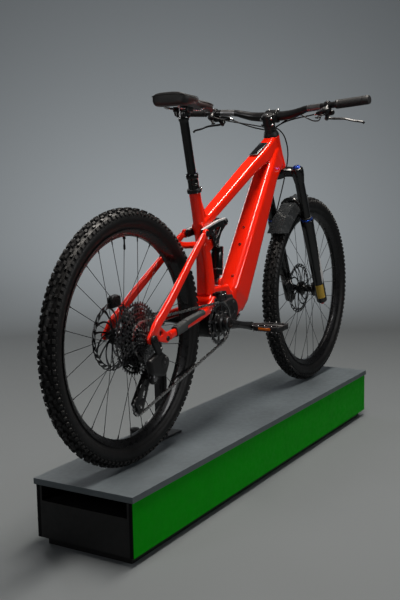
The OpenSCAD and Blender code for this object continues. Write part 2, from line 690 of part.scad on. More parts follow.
// Point at t between the two middle points of four
function through(a, b, c, d, t) = 0.5 * (2 * b + (c - a) * t + (2 * a - 5 * b + 4 * c - d) * t * t
  + (3 * b - a - 3 * c + d) * pow(t, 3));
function spline(points, n) = let (last = len(points) - 1)
  [for (k = [0 : last - 1], i = [0 : k == last - 1 ? n : n - 1])
    through(points[max(k - 1, 0)], points[k], points[k + 1], points[min(k + 2, last)], i / n)];
module front_brake_hose() color("#0c0c0e") on_steerer() hose(spline(brake_route, 4), hose_r);

// ---- seatpost and saddle ----
module seatpost_inner() color("#0b0b0d") on_seat_axis() {
  translate([0, 0, -40]) cylinder(h = 276, r = stanchion_post_r);
  translate([0, 0, 230]) cylinder(h = 14, r = 17);
  rotate([0, -seat_tilt, 0]) translate([-79, -26, 230]) cube([40, 52, 24]);
}
saddle_z = 1044;
rail_r = 3.5;
// Saddle: a broad tail and a narrow nose, on two rails that the post clamps
module saddle() color("#141414") on_bike() translate([-18, 0, 0]) {
  hull() {
    for (y = [-62, 62]) translate([-365, y, saddle_z + 6]) cylinder(h = 30, r = 8, $fn = 32);
    translate([-345, 0, saddle_z + 8]) cylinder(h = 24, r = 60, $fn = 32);
    translate([-250, 0, saddle_z + 8]) cylinder(h = 20, r = 28, $fn = 32);
  }
  hull() {
    translate([-262, 0, saddle_z + 9.1]) cylinder(h = 18, r = 26.7, $fn = 32);
    translate([-140, 0, saddle_z + 2.3]) cylinder(h = 22, r = 20, $fn = 32);
  }
  both() {
    translate([-215, 21, saddle_z - 10]) rotate([0, -90, 0]) cylinder(h = 135, r = rail_r);
    for (x = [-215, -350]) translate([x, 21, saddle_z - 15]) cylinder(h = 29, r = rail_r + 1);
  }
}

plinth_slab();
plinth_side_panels();
plinth_carcass();
stand_column();
head_tube();
top_tube();
down_tube();
seat_tube();
drive_unit();
battery();
display_unit();
chain_guide();
seatpost_outer();
chainstays();
seatstays();
rear_axle();
rear_caliper();
rocker_link();
shock_head();
shock_can();
rear_tyre();
rear_rim();
rear_spokes();
rear_hub();
rear_rotor();
cassette();
derailleur_body();
derailleur_cage();
guide_pulley();
tension_pulley();
crank_arm_right();
crank_arm_left();
chainring();
pedal_right();
pedal_left();
chain_front();
chain_rear();
fork_crown();
fork_stanchions();
stem();
handlebar();
grips();
control_bodies();
hoses();
front_brake_hose();
brake_lever_right();
brake_lever_left();
shift_paddle();
dropper_lever();
fork_dial();
fork_lowers();
mudguard();
front_axle();
front_caliper();
front_tyre();
front_rim();
front_spokes_hub();
front_rotor();
seatpost_inner();
saddle();
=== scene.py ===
import json
from math import acos, atan2, copysign, cos, hypot, pi, radians, sin

import bmesh
import bpy
import numpy as np
from mathutils import Matrix, Vector


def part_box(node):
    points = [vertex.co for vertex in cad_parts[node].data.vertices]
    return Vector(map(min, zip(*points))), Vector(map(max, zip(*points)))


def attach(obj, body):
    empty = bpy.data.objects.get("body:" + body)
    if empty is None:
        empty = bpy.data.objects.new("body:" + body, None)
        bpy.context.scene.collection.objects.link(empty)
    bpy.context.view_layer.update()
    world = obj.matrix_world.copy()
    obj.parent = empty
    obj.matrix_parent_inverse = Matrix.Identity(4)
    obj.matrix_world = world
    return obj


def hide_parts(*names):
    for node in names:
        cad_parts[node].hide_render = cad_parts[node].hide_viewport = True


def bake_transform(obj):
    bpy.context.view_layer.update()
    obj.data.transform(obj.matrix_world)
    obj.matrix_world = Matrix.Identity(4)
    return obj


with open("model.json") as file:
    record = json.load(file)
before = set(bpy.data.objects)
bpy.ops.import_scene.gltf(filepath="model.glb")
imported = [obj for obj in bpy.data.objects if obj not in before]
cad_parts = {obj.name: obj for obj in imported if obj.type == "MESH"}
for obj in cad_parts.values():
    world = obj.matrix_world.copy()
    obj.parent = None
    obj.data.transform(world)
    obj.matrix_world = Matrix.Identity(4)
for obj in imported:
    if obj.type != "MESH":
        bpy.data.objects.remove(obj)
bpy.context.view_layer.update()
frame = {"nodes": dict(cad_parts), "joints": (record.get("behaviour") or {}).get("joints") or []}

# ---------------------------------------------------------------- anchors from the frame
TAU = 2 * pi
move = Matrix.Translation


def joint(name):
    return next(j for j in frame["joints"] if j["name"] == name)


def pivot(name):
    return Vector(joint(name)["pos_m"])


def size_of(node):
    low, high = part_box(node)
    return [h - l for l, h in zip(low, high)]


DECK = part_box("plinth_slab")[1][2]
SCALE = Matrix.Scale(0.001, 4)
# Millimetres above the plinth's top, X forward, Y left
BIKE = move((0, 0, DECK)) @ SCALE


def local(point):
    """A point of the row frame, in metres, in the BIKE frame's millimetres."""
    p = BIKE.inverted() @ Vector(point)
    return np.array([p.x, p.y, p.z])


def on(point):
    """The place of an axle along Y through a point of the BIKE frame."""
    return move((point[0], 0, point[2]))


def centred(point):
    """A millimetre frame whose origin is on the axle through a point of the BIKE frame."""
    return move(BIKE @ Vector((point[0], 0, point[2]))) @ SCALE


def mirror(side):
    """Leaves what is built for the left, side 1, or mirrors it to the right, side -1."""
    return Matrix.Diagonal((1, side, 1, 1))


REAR, BB, MAIN, HORST, ROCKER, SHOCK_TOP, GUIDE, TENSION, PEDAL_R, PEDAL_L = (
    local(pivot(name)) for name in (
        "rear_wheel_spin", "crank_spin", "suspension", "horst_link", "rocker_turn", "shock_tilt",
        "guide_pulley_spin", "tension_pulley_spin", "pedal_right_spin", "pedal_left_spin"))
SHOCK_UP = Vector(joint("shock_stroke")["axis"])
SEAT_UP = Vector(joint("dropper")["axis"])
TYRE_R = size_of("rear_tyre")[0] * 500
TYRE_W = size_of("rear_tyre")[1] * 1000
RIM_R = size_of("rear_rim")[0] * 500
ROTOR_R = size_of("rear_rotor")[0] * 500


def along(origin, direction, near=(0, 0, 1)):
    """A frame with +Z along a direction and +X as near as it goes to near."""
    z = Vector(direction).normalized()
    y = z.cross(Vector(near)).normalized()
    return move(origin) @ Matrix((y.cross(z), y, z)).transposed().to_4x4()


def frame_along(origin, axis):
    """A millimetre frame with +Z along axis and +X as near as it goes to the bicycle's front."""
    return along(origin, axis, (1, 0, 0)) @ SCALE


STEER = frame_along(pivot("steering"), joint("steering")["axis"])
WHEEL_F, WHEEL_R, CRANK = (move(pivot(name)) @ SCALE for name in (
    "front_wheel_spin", "rear_wheel_spin", "crank_spin"))

# ---------------------------------------------------------------- shapes


class Shape:
    """Vertices and faces in millimetres, with a material number for each face."""

    def __init__(self):
        self.v, self.f, self.m = [], [], []

    def add(self, made, mat=0, matrix=None):
        verts, faces = made
        base = len(self.v)
        verts = np.asarray(verts, float)
        if matrix is not None:
            m = np.array(matrix)
            verts = verts @ m[:3, :3].T + m[:3, 3]
        self.v.extend(map(tuple, verts))
        self.f.extend(tuple(i + base for i in f) for f in faces)
        self.m.extend([mat] * len(faces))
        return self

    def add_mirror_image(self):
        """Adds what is there once more, mirrored to the other side."""
        base = len(self.v)
        self.v += [(x, -y, z) for x, y, z in self.v]
        self.f += [tuple(i + base for i in reversed(f)) for f in self.f]
        self.m += self.m


def turned(axis, degrees):
    return Matrix.Rotation(radians(degrees), 4, axis)


def polar(r, angle):
    return r * cos(angle), r * sin(angle)


def swapped(made):
    """Y and Z change places: what was built round Z then lies round Y."""
    verts, faces = made
    return [(x, z, y) for x, y, z in verts], [tuple(reversed(f)) for f in faces]


def lathe(profile, n=48, closed=False):
    """A solid of revolution about Z from (radius, height) points; a closed profile makes a ring."""
    verts, faces, rings = [], [], []
    for r, z in profile:
        if r < 1e-6:
            rings.append([len(verts)])
            verts.append((0, 0, z))
        else:
            rings.append(list(range(len(verts), len(verts) + n)))
            verts += [(r * cos(TAU * i / n), r * sin(TAU * i / n), z) for i in range(n)]
    pairs = list(zip(rings, rings[1:])) + ([(rings[-1], rings[0])] if closed else [])
    for a, b in pairs:
        for i in range(n):
            j = (i + 1) % n
            quad = [a[i % len(a)], a[j % len(a)], b[j % len(b)], b[i % len(b)]]
            quad = [q for k, q in enumerate(quad) if q != quad[k - 1]]
            if len(quad) > 2:
                faces.append(tuple(quad))
    if not closed:
        for ring, flip in ((rings[0], True), (rings[-1], False)):
            if len(ring) > 1:
                faces.append(tuple(reversed(ring)) if flip else tuple(ring))
    return verts, faces


def axle_lathe(profile, n=48, closed=False):
    """A lathe about Y, with its heights along +Y."""
    return swapped(lathe(profile, n, closed))


def directions(path):
    """Unit vectors along a path, one for each of its points."""
    steps = np.gradient(path, axis=0)
    return steps / np.linalg.norm(steps, axis=1)[:, None]


def skin(rings):
    """Quads between neighbouring rings of the same number of points, and a cap at each end."""
    n = len(rings[0])
    verts = [tuple(p) for ring in rings for p in ring]
    faces = []
    for a in range(0, len(verts) - n, n):
        faces += [(a + i, a + (i + 1) % n, a + n + (i + 1) % n, a + n + i) for i in range(n)]
    return verts, faces + [tuple(reversed(range(n))), tuple(range(len(verts) - n, len(verts)))]


def rounded(w, h, r, k=4):
    """Outline of a w by h rectangle with corners of radius r."""
    r = min(r, w / 2, h / 2)
    points = []
    for sx, sy, start in ((1, 1, 0), (-1, 1, 90), (-1, -1, 180), (1, -1, 270)):
        for i in range(k + 1):
            a = radians(start + 90 * i / k)
            points.append((sx * (w / 2 - r) + r * cos(a), sy * (h / 2 - r) + r * sin(a)))
    return np.array(points)


def bar(path, sizes, up=(0, 0, 1), k=4):
    """A tube of rounded rectangles along a path; sizes is one (width, height, corner) or a list."""
    path = np.asarray(path, float)
    if isinstance(sizes, tuple):
        sizes = [sizes] * len(path)
    ahead = directions(path)
    side = np.cross(np.asarray(up, float), ahead)
    side /= np.linalg.norm(side, axis=1)[:, None]
    rings = []
    for p, s, u, (w, h, r) in zip(path, side, np.cross(ahead, side), sizes):
        o = rounded(w, h, r, k)
        rings.append(p + o[:, :1] * s + o[:, 1:] * u)
    return skin(rings)


def tube(path, radii, n=16):
    """A round tube along a path; its frame is carried along, so it doesn't twist."""
    path = np.asarray(path, float)
    if np.isscalar(radii):
        radii = [radii] * len(path)
    start = np.array((0.3, 0.2, 1.0))
    rings = []
    for p, t, r in zip(path, directions(path), radii):
        start = start - t * (start @ t)
        start /= np.linalg.norm(start)
        other = np.cross(t, start)
        a = np.arange(n) * TAU / n
        rings.append(p + r * (np.cos(a)[:, None] * start + np.sin(a)[:, None] * other))
    return skin(rings)


def curve(points, n=8):
    """A smooth curve through given points."""
    p = np.asarray(points, float)
    p = np.vstack([2 * p[0] - p[1], p, 2 * p[-1] - p[-2]])
    out = []
    for a, b, c, d in zip(p, p[1:], p[2:], p[3:]):
        for i in range(n):
            t = i / n
            out.append(0.5 * (2 * b + (c - a) * t + (2 * a - 5 * b + 4 * c - d) * t * t
                              + (3 * b - a - 3 * c + d) * t ** 3))
    return np.array(out + [p[-2]])


def spread(values, n):
    """Values at the points that curve() makes between them."""
    return np.interp(np.arange((len(values) - 1) * n + 1) / n, np.arange(len(values)), values)


def block(size, centre=(0, 0, 0), bevel=1.0, segments=2):
    """A box with rounded edges."""
    bm = bmesh.new()
    bmesh.ops.create_cube(bm, size=1)
    for v in bm.verts:
        v.co = Vector([v.co[i] * size[i] for i in range(3)])
    bmesh.ops.bevel(bm, geom=bm.edges[:], offset=bevel, segments=segments, affect="EDGES",
                    profile=0.5)
    verts = [tuple(v.co + Vector(centre)) for v in bm.verts]
    faces = [tuple(v.index for v in f.verts) for f in bm.faces]
    bm.free()
    return verts, faces


def flat(outlines, thickness, bevel=0.0, at=0.0):
    """A plate in the XZ plane from outlines, the later ones holes, centred on y = at."""
    data = bpy.data.curves.new("outline", "CURVE")
    data.dimensions = "2D"
    data.fill_mode = "BOTH"
    data.extrude = thickness / 2 - bevel
    data.bevel_depth = bevel
    data.bevel_resolution = 1
    data.offset = -bevel
    for points in outlines:
        spline = data.splines.new("POLY")
        spline.points.add(len(points) - 1)
        for sp, p in zip(spline.points, points):
            sp.co = (p[0], p[1], 0, 1)
        spline.use_cyclic_u = True
    holder = bpy.data.objects.new("outline", data)
    mesh = bpy.data.meshes.new_from_object(holder)
    bm = bmesh.new()
    bm.from_mesh(mesh)
    bmesh.ops.remove_doubles(bm, verts=bm.verts, dist=1e-3)
    bmesh.ops.recalc_face_normals(bm, faces=bm.faces)
    verts = [(v.co.x, at - v.co.z, v.co.y) for v in bm.verts]
    faces = [tuple(v.index for v in f.verts) for f in bm.faces]
    bm.free()
    bpy.data.objects.remove(holder)
    bpy.data.meshes.remove(mesh)
    bpy.data.curves.remove(data)
    return verts, faces


def ring_points(r, n=48, at=(0, 0)):
    return [(at[0] + r * cos(TAU * i / n), at[1] + r * sin(TAU * i / n))
            for i in range(n)]


def hull_outline(circles, n=40):
    """The outline round circles (x, z, radius), as a rubber band would lie."""
    points = np.array([p for x, z, r in circles for p in ring_points(r, n, (x, z))])
    points = points[np.lexsort((points[:, 1], points[:, 0]))]

    def half(ps):
        out = []
        for p in ps:
            while len(out) > 1 and (out[-1][0] - out[-2][0]) * (p[1] - out[-2][1]) - (
                    out[-1][1] - out[-2][1]) * (p[0] - out[-2][0]) <= 1e-9:
                out.pop()
            out.append(tuple(p))
        return out[:-1]
    return half(points) + half(points[::-1])


def plate(circles, thickness, bevel=0.0, at=0.0):
    """A flat plate whose outline runs round circles (x, z, radius)."""
    return flat([hull_outline(circles)], thickness, bevel, at)


def arc_window(hi, lo, a0, a1, n, inset=0.0):
    """A window between two radii and two angles; inset shortens both ends of its inner edge."""
    return ([polar(hi, a0 + (a1 - a0) * j / n) for j in range(n + 1)]
            + [polar(lo, a1 - inset - (a1 - a0 - 2 * inset) * j / n) for j in range(n + 1)])


def evaluated(obj):
    graph = bpy.context.evaluated_depsgraph_get()
    mesh = bpy.data.meshes.new_from_object(obj.evaluated_get(graph))
    verts = np.zeros(len(mesh.vertices) * 3)
    mesh.vertices.foreach_get("co", verts)
    faces = [tuple(p.vertices) for p in mesh.polygons]
    bpy.data.meshes.remove(mesh)
    return verts.reshape(-1, 3), faces


def fuse(shape, voxel, smooth):
    """Overlapping solids melted into one skin, with small fillets where they meet."""
    mesh = bpy.data.meshes.new("fuse")
    mesh.from_pydata(shape.v, [], shape.f)
    obj = bpy.data.objects.new("fuse", mesh)
    bpy.context.scene.collection.objects.link(obj)
    remesh = obj.modifiers.new("remesh", "REMESH")
    remesh.mode = "VOXEL"
    remesh.voxel_size = voxel * 1
    relax = obj.modifiers.new("relax", "SMOOTH")
    relax.factor = 0.5
    relax.iterations = smooth
    made = evaluated(obj)
    bpy.data.objects.remove(obj)
    bpy.data.meshes.remove(mesh)
    return made


def piece(name, shape, place, mats, body, angle=35, replaces=(), subdivide=0):
    """Makes the Blender object: placed, shaded, and riding on its CAD body."""
    if not isinstance(shape, Shape):
        shape = Shape().add(shape)
    mesh = bpy.data.meshes.new(name)
    m = np.array(place)
    verts = np.asarray(shape.v, float) @ m[:3, :3].T + m[:3, 3]
    mesh.from_pydata(verts.tolist(), [], shape.f)
    for mat in mats if isinstance(mats, (list, tuple)) else [mats]:
        mesh.materials.append(mat)
    mesh.polygons.foreach_set("material_index", shape.m)
    mesh.polygons.foreach_set("use_smooth", [True] * len(mesh.polygons))
    mesh.set_sharp_from_angle(angle=radians(angle))
    mesh.validate()
    mesh.update()
    obj = bpy.data.objects.new(name, mesh)
    bpy.context.scene.collection.objects.link(obj)
    if subdivide:
        mod = obj.modifiers.new("subdivide", "SUBSURF")
        mod.levels = mod.render_levels = subdivide
    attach(obj, body)
    if replaces:
        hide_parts(*replaces)
    return obj


# ---------------------------------------------------------------- materials


def set_inputs(node, **values):
    """Sets sockets of a shader node; an underscore in a name stands for a space."""
    for name, value in values.items():
        node.inputs[name.replace("_", " ")].default_value = value


def material(name, colour, rough, metal=0.0, coat=0.0, grain=900.0, bump=0.12, depth=0.05,
             vary=0.15, rough_vary=0.08, stretch=(1, 1, 1), worn=0.0, sheen=0.0, cells=False,
             gloss=0.3, ends=None):
    """A finish with its own fine grain: noise for the tone, the roughness and the bump.
    depth is in millimetres, grain is in cycles for each metre, worn lightens sharp edges and
    ends is the colour of faces that look along x."""
    mat = bpy.data.materials.new(name)
    mat.use_nodes = True
    nodes, links = mat.node_tree.nodes, mat.node_tree.links
    shader = nodes["Principled BSDF"]
    set_inputs(shader, Metallic=metal, Specular_IOR_Level=gloss, Coat_Weight=coat,
               Coat_Roughness=0.04, Sheen_Weight=sheen)

    def node(kind, **values):
        made = nodes.new("ShaderNode" + kind)
        set_inputs(made, **values)
        return made

    place = node("TexCoord")
    mapping = node("Mapping", Scale=stretch)
    links.new(place.outputs["Object"], mapping.inputs["Vector"])

    def noise(scale, detail):
        n = node("TexNoise", Scale=scale, Detail=detail)
        links.new(mapping.outputs["Vector"], n.inputs["Vector"])
        return n.outputs["Fac"]

    def ranged(value, low, high):
        r = node("MapRange", From_Min=0.3, From_Max=0.7, To_Min=low, To_Max=high)
        links.new(value, r.inputs["Value"])
        return r.outputs["Result"]

    def mix(fac, a, b):
        m = node("Mix")
        m.data_type = "RGBA"
        links.new(fac, m.inputs["Factor"])
        for socket, value in ((m.inputs["A"], a), (m.inputs["B"], b)):
            if isinstance(value, tuple):
                socket.default_value = (*value, 1)
            else:
                links.new(value, socket)
        return m.outputs["Result"]

    slow = noise(18, 3)
    dark = tuple(c * (1 - vary) for c in colour)
    light = tuple(min(c * (1 + vary), 1) for c in colour)
    tone = mix(ranged(slow, 0, 1), dark, light)
    if worn:
        geometry = node("NewGeometry")
        edge = node("MapRange", From_Min=0.54, From_Max=0.62, To_Max=worn)
        links.new(geometry.outputs["Pointiness"], edge.inputs["Value"])
        tone = mix(edge.outputs["Result"], tone, tuple(min(c * 4 + 0.12, 0.8) for c in colour))
    if ends:
        geometry = node("NewGeometry")
        split = node("SeparateXYZ")
        links.new(geometry.outputs["True Normal"], split.inputs["Vector"])
        along_x = node("Math")
        along_x.operation = "ABSOLUTE"
        links.new(split.outputs["X"], along_x.inputs[0])
        tone = mix(ranged(along_x.outputs["Value"], 0, 1), tone, ends)
    links.new(tone, shader.inputs["Base Color"])
    fine = noise(grain, 5)
    links.new(ranged(noise(60, 4), rough - rough_vary, rough + rough_vary),
              shader.inputs["Roughness"])
    if cells:
        v = node("TexVoronoi", Scale=grain)
        links.new(mapping.outputs["Vector"], v.inputs["Vector"])
        fine = v.outputs["Distance"]
    relief = node("Bump", Strength=bump, Distance=depth / 1000)
    links.new(fine, relief.inputs["Height"])
    links.new(relief.outputs["Normal"], shader.inputs["Normal"])
    return mat


RED = material("red_paint", (0.80, 0.013, 0.0012), 0.34, coat=0.9, grain=220, bump=0.05, depth=0.04,
               vary=0.03, rough_vary=0.03, gloss=0.1)
SATIN = material("satin_black", (0.009, 0.009, 0.010), 0.36, metal=0.4, coat=0.2, worn=0.2)
GLOSS = material("gloss_black", (0.004, 0.0045, 0.005), 0.2, coat=0.5, grain=300, bump=0.04,
                 rough_vary=0.04)
PLASTIC = material("moulded_plastic", (0.008, 0.008, 0.009), 0.44, grain=1800, bump=0.3, cells=True)
RUBBER = material("tyre_rubber", (0.010, 0.010, 0.0105), 0.5, grain=700, bump=0.35, depth=0.12,
                  vary=0.3, rough_vary=0.1, gloss=0.3)
SIDEWALL = material("sidewall_rubber", (0.006, 0.006, 0.0065), 0.46, grain=1400, bump=0.2,
                    vary=0.2, rough_vary=0.07, gloss=0.2)
GRIP = material("grip_rubber", (0.02, 0.02, 0.021), 0.58, grain=1500, bump=0.3, cells=True)
RIM = material("rim_black", (0.008, 0.008, 0.009), 0.3, metal=0.5, coat=0.3, bump=0.06)
SPOKE = material("spoke_steel", (0.03, 0.03, 0.033), 0.3, metal=1.0, bump=0.05)
HUB = material("hub_black", (0.009, 0.009, 0.010), 0.3, metal=0.6, coat=0.3, worn=0.15)
STEEL = material("bright_steel", (0.55, 0.55, 0.56), 0.24, metal=1.0, stretch=(1, 6, 1))
ROTOR = material("rotor_steel", (0.13, 0.13, 0.135), 0.3, metal=1.0, grain=500, stretch=(1, 8, 1),
                 rough_vary=0.12)
COG = material("cassette_steel", (0.10, 0.10, 0.105), 0.27, metal=1.0, worn=0.5, rough_vary=0.12)
CHAIN = material("chain_steel", (0.30, 0.30, 0.30), 0.28, metal=1.0, worn=0.4, rough_vary=0.12)
CRANK_MAT = material("crank_alloy", (0.05, 0.052, 0.056), 0.34, metal=0.9, coat=0.15, worn=0.4)
LINK = material("rocker_alloy", (0.02, 0.02, 0.022), 0.28, metal=0.8, coat=0.4)
# Light grey strip for the rocker's top edge: a painted highlight, bright under any light
TOP_EDGE_HIGHLIGHT = material("painted_highlight_edge", (0.62, 0.62, 0.63), 0.3, metal=0.35, stretch=(1, 5, 1))
SHOCK_GREY = material("shock_metal", (0.16, 0.16, 0.165), 0.32, metal=0.9, worn=0.3)
GUARD = material("guard_rubber", (0.04, 0.043, 0.045), 0.6, grain=900, bump=0.35, cells=True)
FENDER = material("mudguard_plastic", (0.02, 0.022, 0.024), 0.24, grain=700, bump=0.04, coat=0.5,
                  gloss=0.6)
GLASS = material("display_glass", (0.006, 0.006, 0.007), 0.08, coat=1.0, grain=100, bump=0.01,
                 rough_vary=0.02)
BLUE = material("blue_anodised", (0.006, 0.045, 0.34), 0.28, metal=0.8, coat=0.3, worn=0.3)
RED_KNOB = material("red_anodised", (0.55, 0.02, 0.015), 0.3, metal=0.6, coat=0.3)
GOLD = material("gold_label", (0.55, 0.36, 0.06), 0.35, metal=0.4, grain=400)
REFLECTOR = material("amber_reflector", (0.42, 0.09, 0.006), 0.16, coat=0.8, grain=420, bump=0.6,
                     depth=0.3, cells=True)
COVER = material("saddle_cover", (0.016, 0.016, 0.017), 0.5, grain=1100, bump=0.35, depth=0.08,
                 sheen=0.1, cells=True)
COVER_SIDE = material("saddle_side", (0.035, 0.014, 0.013), 0.55, grain=1400, bump=0.3, sheen=0.1)
SLAB = material("slab_laminate", (0.07, 0.084, 0.094), 0.5, grain=1600, bump=0.25, depth=0.04,
                vary=0.08, rough_vary=0.06)
GREEN = material("green_panel", (0.0, 0.23, 0.001), 0.5, grain=700, bump=0.08, vary=0.06,
                 gloss=0.05, ends=(0.004, 0.004, 0.0045))
WHITE = material("white_stripe", (0.5, 0.5, 0.5), 0.4, grain=600, bump=0.05, vary=0.05)
BOARD = material("black_board", (0.004, 0.004, 0.0045), 0.5, grain=900, bump=0.2)
POWDER = material("black_steel", (0.016, 0.016, 0.018), 0.45, grain=1500, bump=0.3, cells=True)
SHELL = material("battery_case", (0.03, 0.03, 0.032), 0.5, grain=1500, bump=0.3, cells=True)


def keep(node, mat, bevel=0.0):
    """A CAD node whose shape is right: it stays, with this finish and softened edges."""
    obj = frame["nodes"][node]
    obj.data.materials.clear()
    obj.data.materials.append(mat)
    if bevel:
        mod = obj.modifiers.new("bevel", "BEVEL")
        mod.width = bevel / 1000
        mod.segments = 2
        mod.limit_method = "ANGLE"
        mod.angle_limit = radians(40)
    return obj


def bolt(r, h, at, axis=(0, 1, 0), socket=True):
    """A low round bolt head with a hexagon socket, standing on a point along an axis."""
    z = Vector(axis).normalized()
    turn = z.to_track_quat("Z", "Y").to_matrix().to_4x4()
    s = 0.45 * r if socket else 0
    profile = [(r, -h), (r, h * 0.6), (r * 0.85, h), (s * 1.25, h), (s, h * 0.3), (0, h * 0.3)]
    shape = Shape().add(lathe(profile, 24), 0, move(at) @ turn)
    return shape.v, shape.f


# ---------------------------------------------------------------- frame

SEAT_TOP = np.array([-247.0, 0, 779.0])
SEAT_DIR = np.array(SEAT_UP)


def frame_shell():
    """Head, top, down and seat tubes with their lugs, as one moulded shell."""
    steer_to_bike = BIKE.inverted() @ STEER
    s = Shape()
    s.add(lathe([(30.5, 553), (31, 560), (28.5, 598), (28, 640), (29, 672), (29.5, 683)], 64),
          matrix=steer_to_bike)
    top = [(-232, 0, 662), (-196, 0, 683), (-60, 0, 755), (120, 0, 852), (230, 0, 903),
           (322, 0, 951)]
    s.add(bar(top, [(40, 34, 9), (43, 34, 9), (46, 36, 8), (50, 40, 8), (50, 50, 9), (48, 66, 11)]))
    down = [(-22, 0, 388), (0, 0, 424), (80, 0, 548), (190, 0, 720), (262, 0, 833), (318, 0, 890),
            (352, 0, 912)]
    s.add(bar(down, [(66, 112, 26), (76, 122, 22), (76, 110, 20), (76, 92, 19), (74, 80, 19),
                     (62, 92, 18), (50, 88, 16)]))
    s.add(bar([(-40, 0, 366), (-20, 0, 392), (10, 0, 440)], [(60, 70, 26), (68, 96, 26),
                                                             (70, 100, 24)]))
    seat = [SEAT_TOP + SEAT_DIR * t for t in (0, -60, -130, -212)]
    s.add(tube(seat, [18.6, 18.8, 20.4, 22], 40))
    s.add(bar([(-186, 0, 446), (-188, 0, 500), (-195, 0, 560), (-206, 0, 612)],
              [(54, 48, 14), (52, 46, 14), (46, 44, 14), (42, 42, 16)]))
    # Webs that fill the corners between the tubes
    web = [(-228, 758), (-212, 728), (-202, 710), (-186, 706), (-128, 732), (-190, 668),
           (-202, 640), (-211, 690)]
    s.add(flat([web], 32, 5))
    s.add(flat([[(262, 906), (318, 935), (322, 880), (270, 850), (246, 868), (238, 884)]], 44, 6))
    s.add(plate([(-190, 452, 14), (-62, 434, 12), (-80, 454, 12)], 50, 5))
    s.add(axle_lathe([(16, -30), (16, 30)], 40), matrix=on(MAIN))
    for y in (-17.5, 17.5):
        s.add(plate([(-116, 480, 13), (-116, 452, 16)], 9, 2, y))
    s.add(plate([(ROCKER[0], ROCKER[2], 12), (-198, 600, 16)], 46, 4))
    piece("frame_shell", fuse(s, 2.0, 8), BIKE, RED, "frame", 180,
          ("head_tube", "top_tube", "down_tube", "seat_tube"))


def frame_details():
    """Covers, ports and bolts on the frame."""
    s = Shape()
    axis = np.array([290.0, 0, 453.0])
    axis /= np.linalg.norm(axis)
    back = np.array([-axis[2], 0, axis[0]])
    for x, y, z in ((84.7, 0, 649), (44.5, -5, 593), (-27, -14, 489)):
        s.add(bolt(5, 6, (x + 2.6, y, z - 1.7), tuple(back)), 0)
    s.add(lathe([(0, -2), (6, -2), (6.6, 1), (4, 3), (0, 3.4)], 24), 0,
          move((152, -19, 848)) @ turned("X", -40))
    # Cap that closes the battery bay at the down tube's foot
    s.add(block((62, 46, 5), bevel=2.0), 0, move((-26, 0, 344))
          @ turned("Y", -32) @ turned("Z", 90))
    piece("frame_ports", s, BIKE, [PLASTIC], "frame", 35, ())
    d = move((205, 0, 925.6)) @ turned("Y", -27)
    s = Shape()
    s.add(block((98, 32, 5), (0, 0, -1.6), 1.6, 3), 1, d)
    s.add(block((84, 25, 3), (2, 0, 1.4), 1.0, 2), 0, d)
    s.add(block((4, 20, 2.4), (-44, 0, 1.6), 0.8, 2), 0, d)
    piece("display_window", s, BIKE, [GLASS, SHOCK_GREY], "frame", 35, ("display_unit",))
    keep("battery", SHELL)


def drive_unit():
    s = Shape()
    s.add(plate([(BB[0], BB[2], 50), (-92, 372, 48), (-70, 380, 40)], 78, 8))
    s.add(plate([(-196, 414, 12), (-150, 424, 16), (-60, 412, 20), (-70, 380, 30)],
               60, 8))
    s.add(axle_lathe([(30, -46), (36, -38), (36, 38), (30, 46)], 48),
          matrix=on(BB))
    body = Shape().add(fuse(s, 2.4, 6))
    for side in (-1, 1):
        for x, z in ((-216, 318), (-150, 308), (-90, 330), (-62, 372), (-70, 408)):
            body.add(bolt(4, 1.6, (x, side * 38.2, z), (0, side, 0)), 1)
        body.add(flat([hull_outline([(-128, 350, 26), (-92, 376, 22)]),
                       hull_outline([(-128, 350, 23.5), (-92, 376, 19.5)])[::-1]], 1.6, 0.3,
                      side * 39.4), 0)
    piece("motor_cover", body, BIKE, [PLASTIC, SHOCK_GREY], "frame", 40, ("drive_unit",))
    g = Shape()
    g.add(flat([[(-200, 424), (-156, 424), (-154, 440), (-160, 456), (-188, 458), (-200, 444)],
                [(-192, 430), (-164, 430), (-162, 438), (-186, 440)][::-1]], 3, 0.6, -60.5))
    g.add(flat([[(-196, 426), (-158, 426), (-158, 452), (-190, 452)]], 3, 0.6, -39.5))
    g.add(block((38, 20, 6), (-177, -50, 452), 1.5), 0)
    g.add(block((24, 16, 9), (-174, -34, 445), 1.5), 0)
    for x in (-186, -168):
        g.add(bolt(3, 1.2, (x, -62, 447), (0, -1, 0)), 1)
    piece("chain_guide_plates", g, BIKE, [PLASTIC, STEEL], "frame", 35, ("chain_guide",))


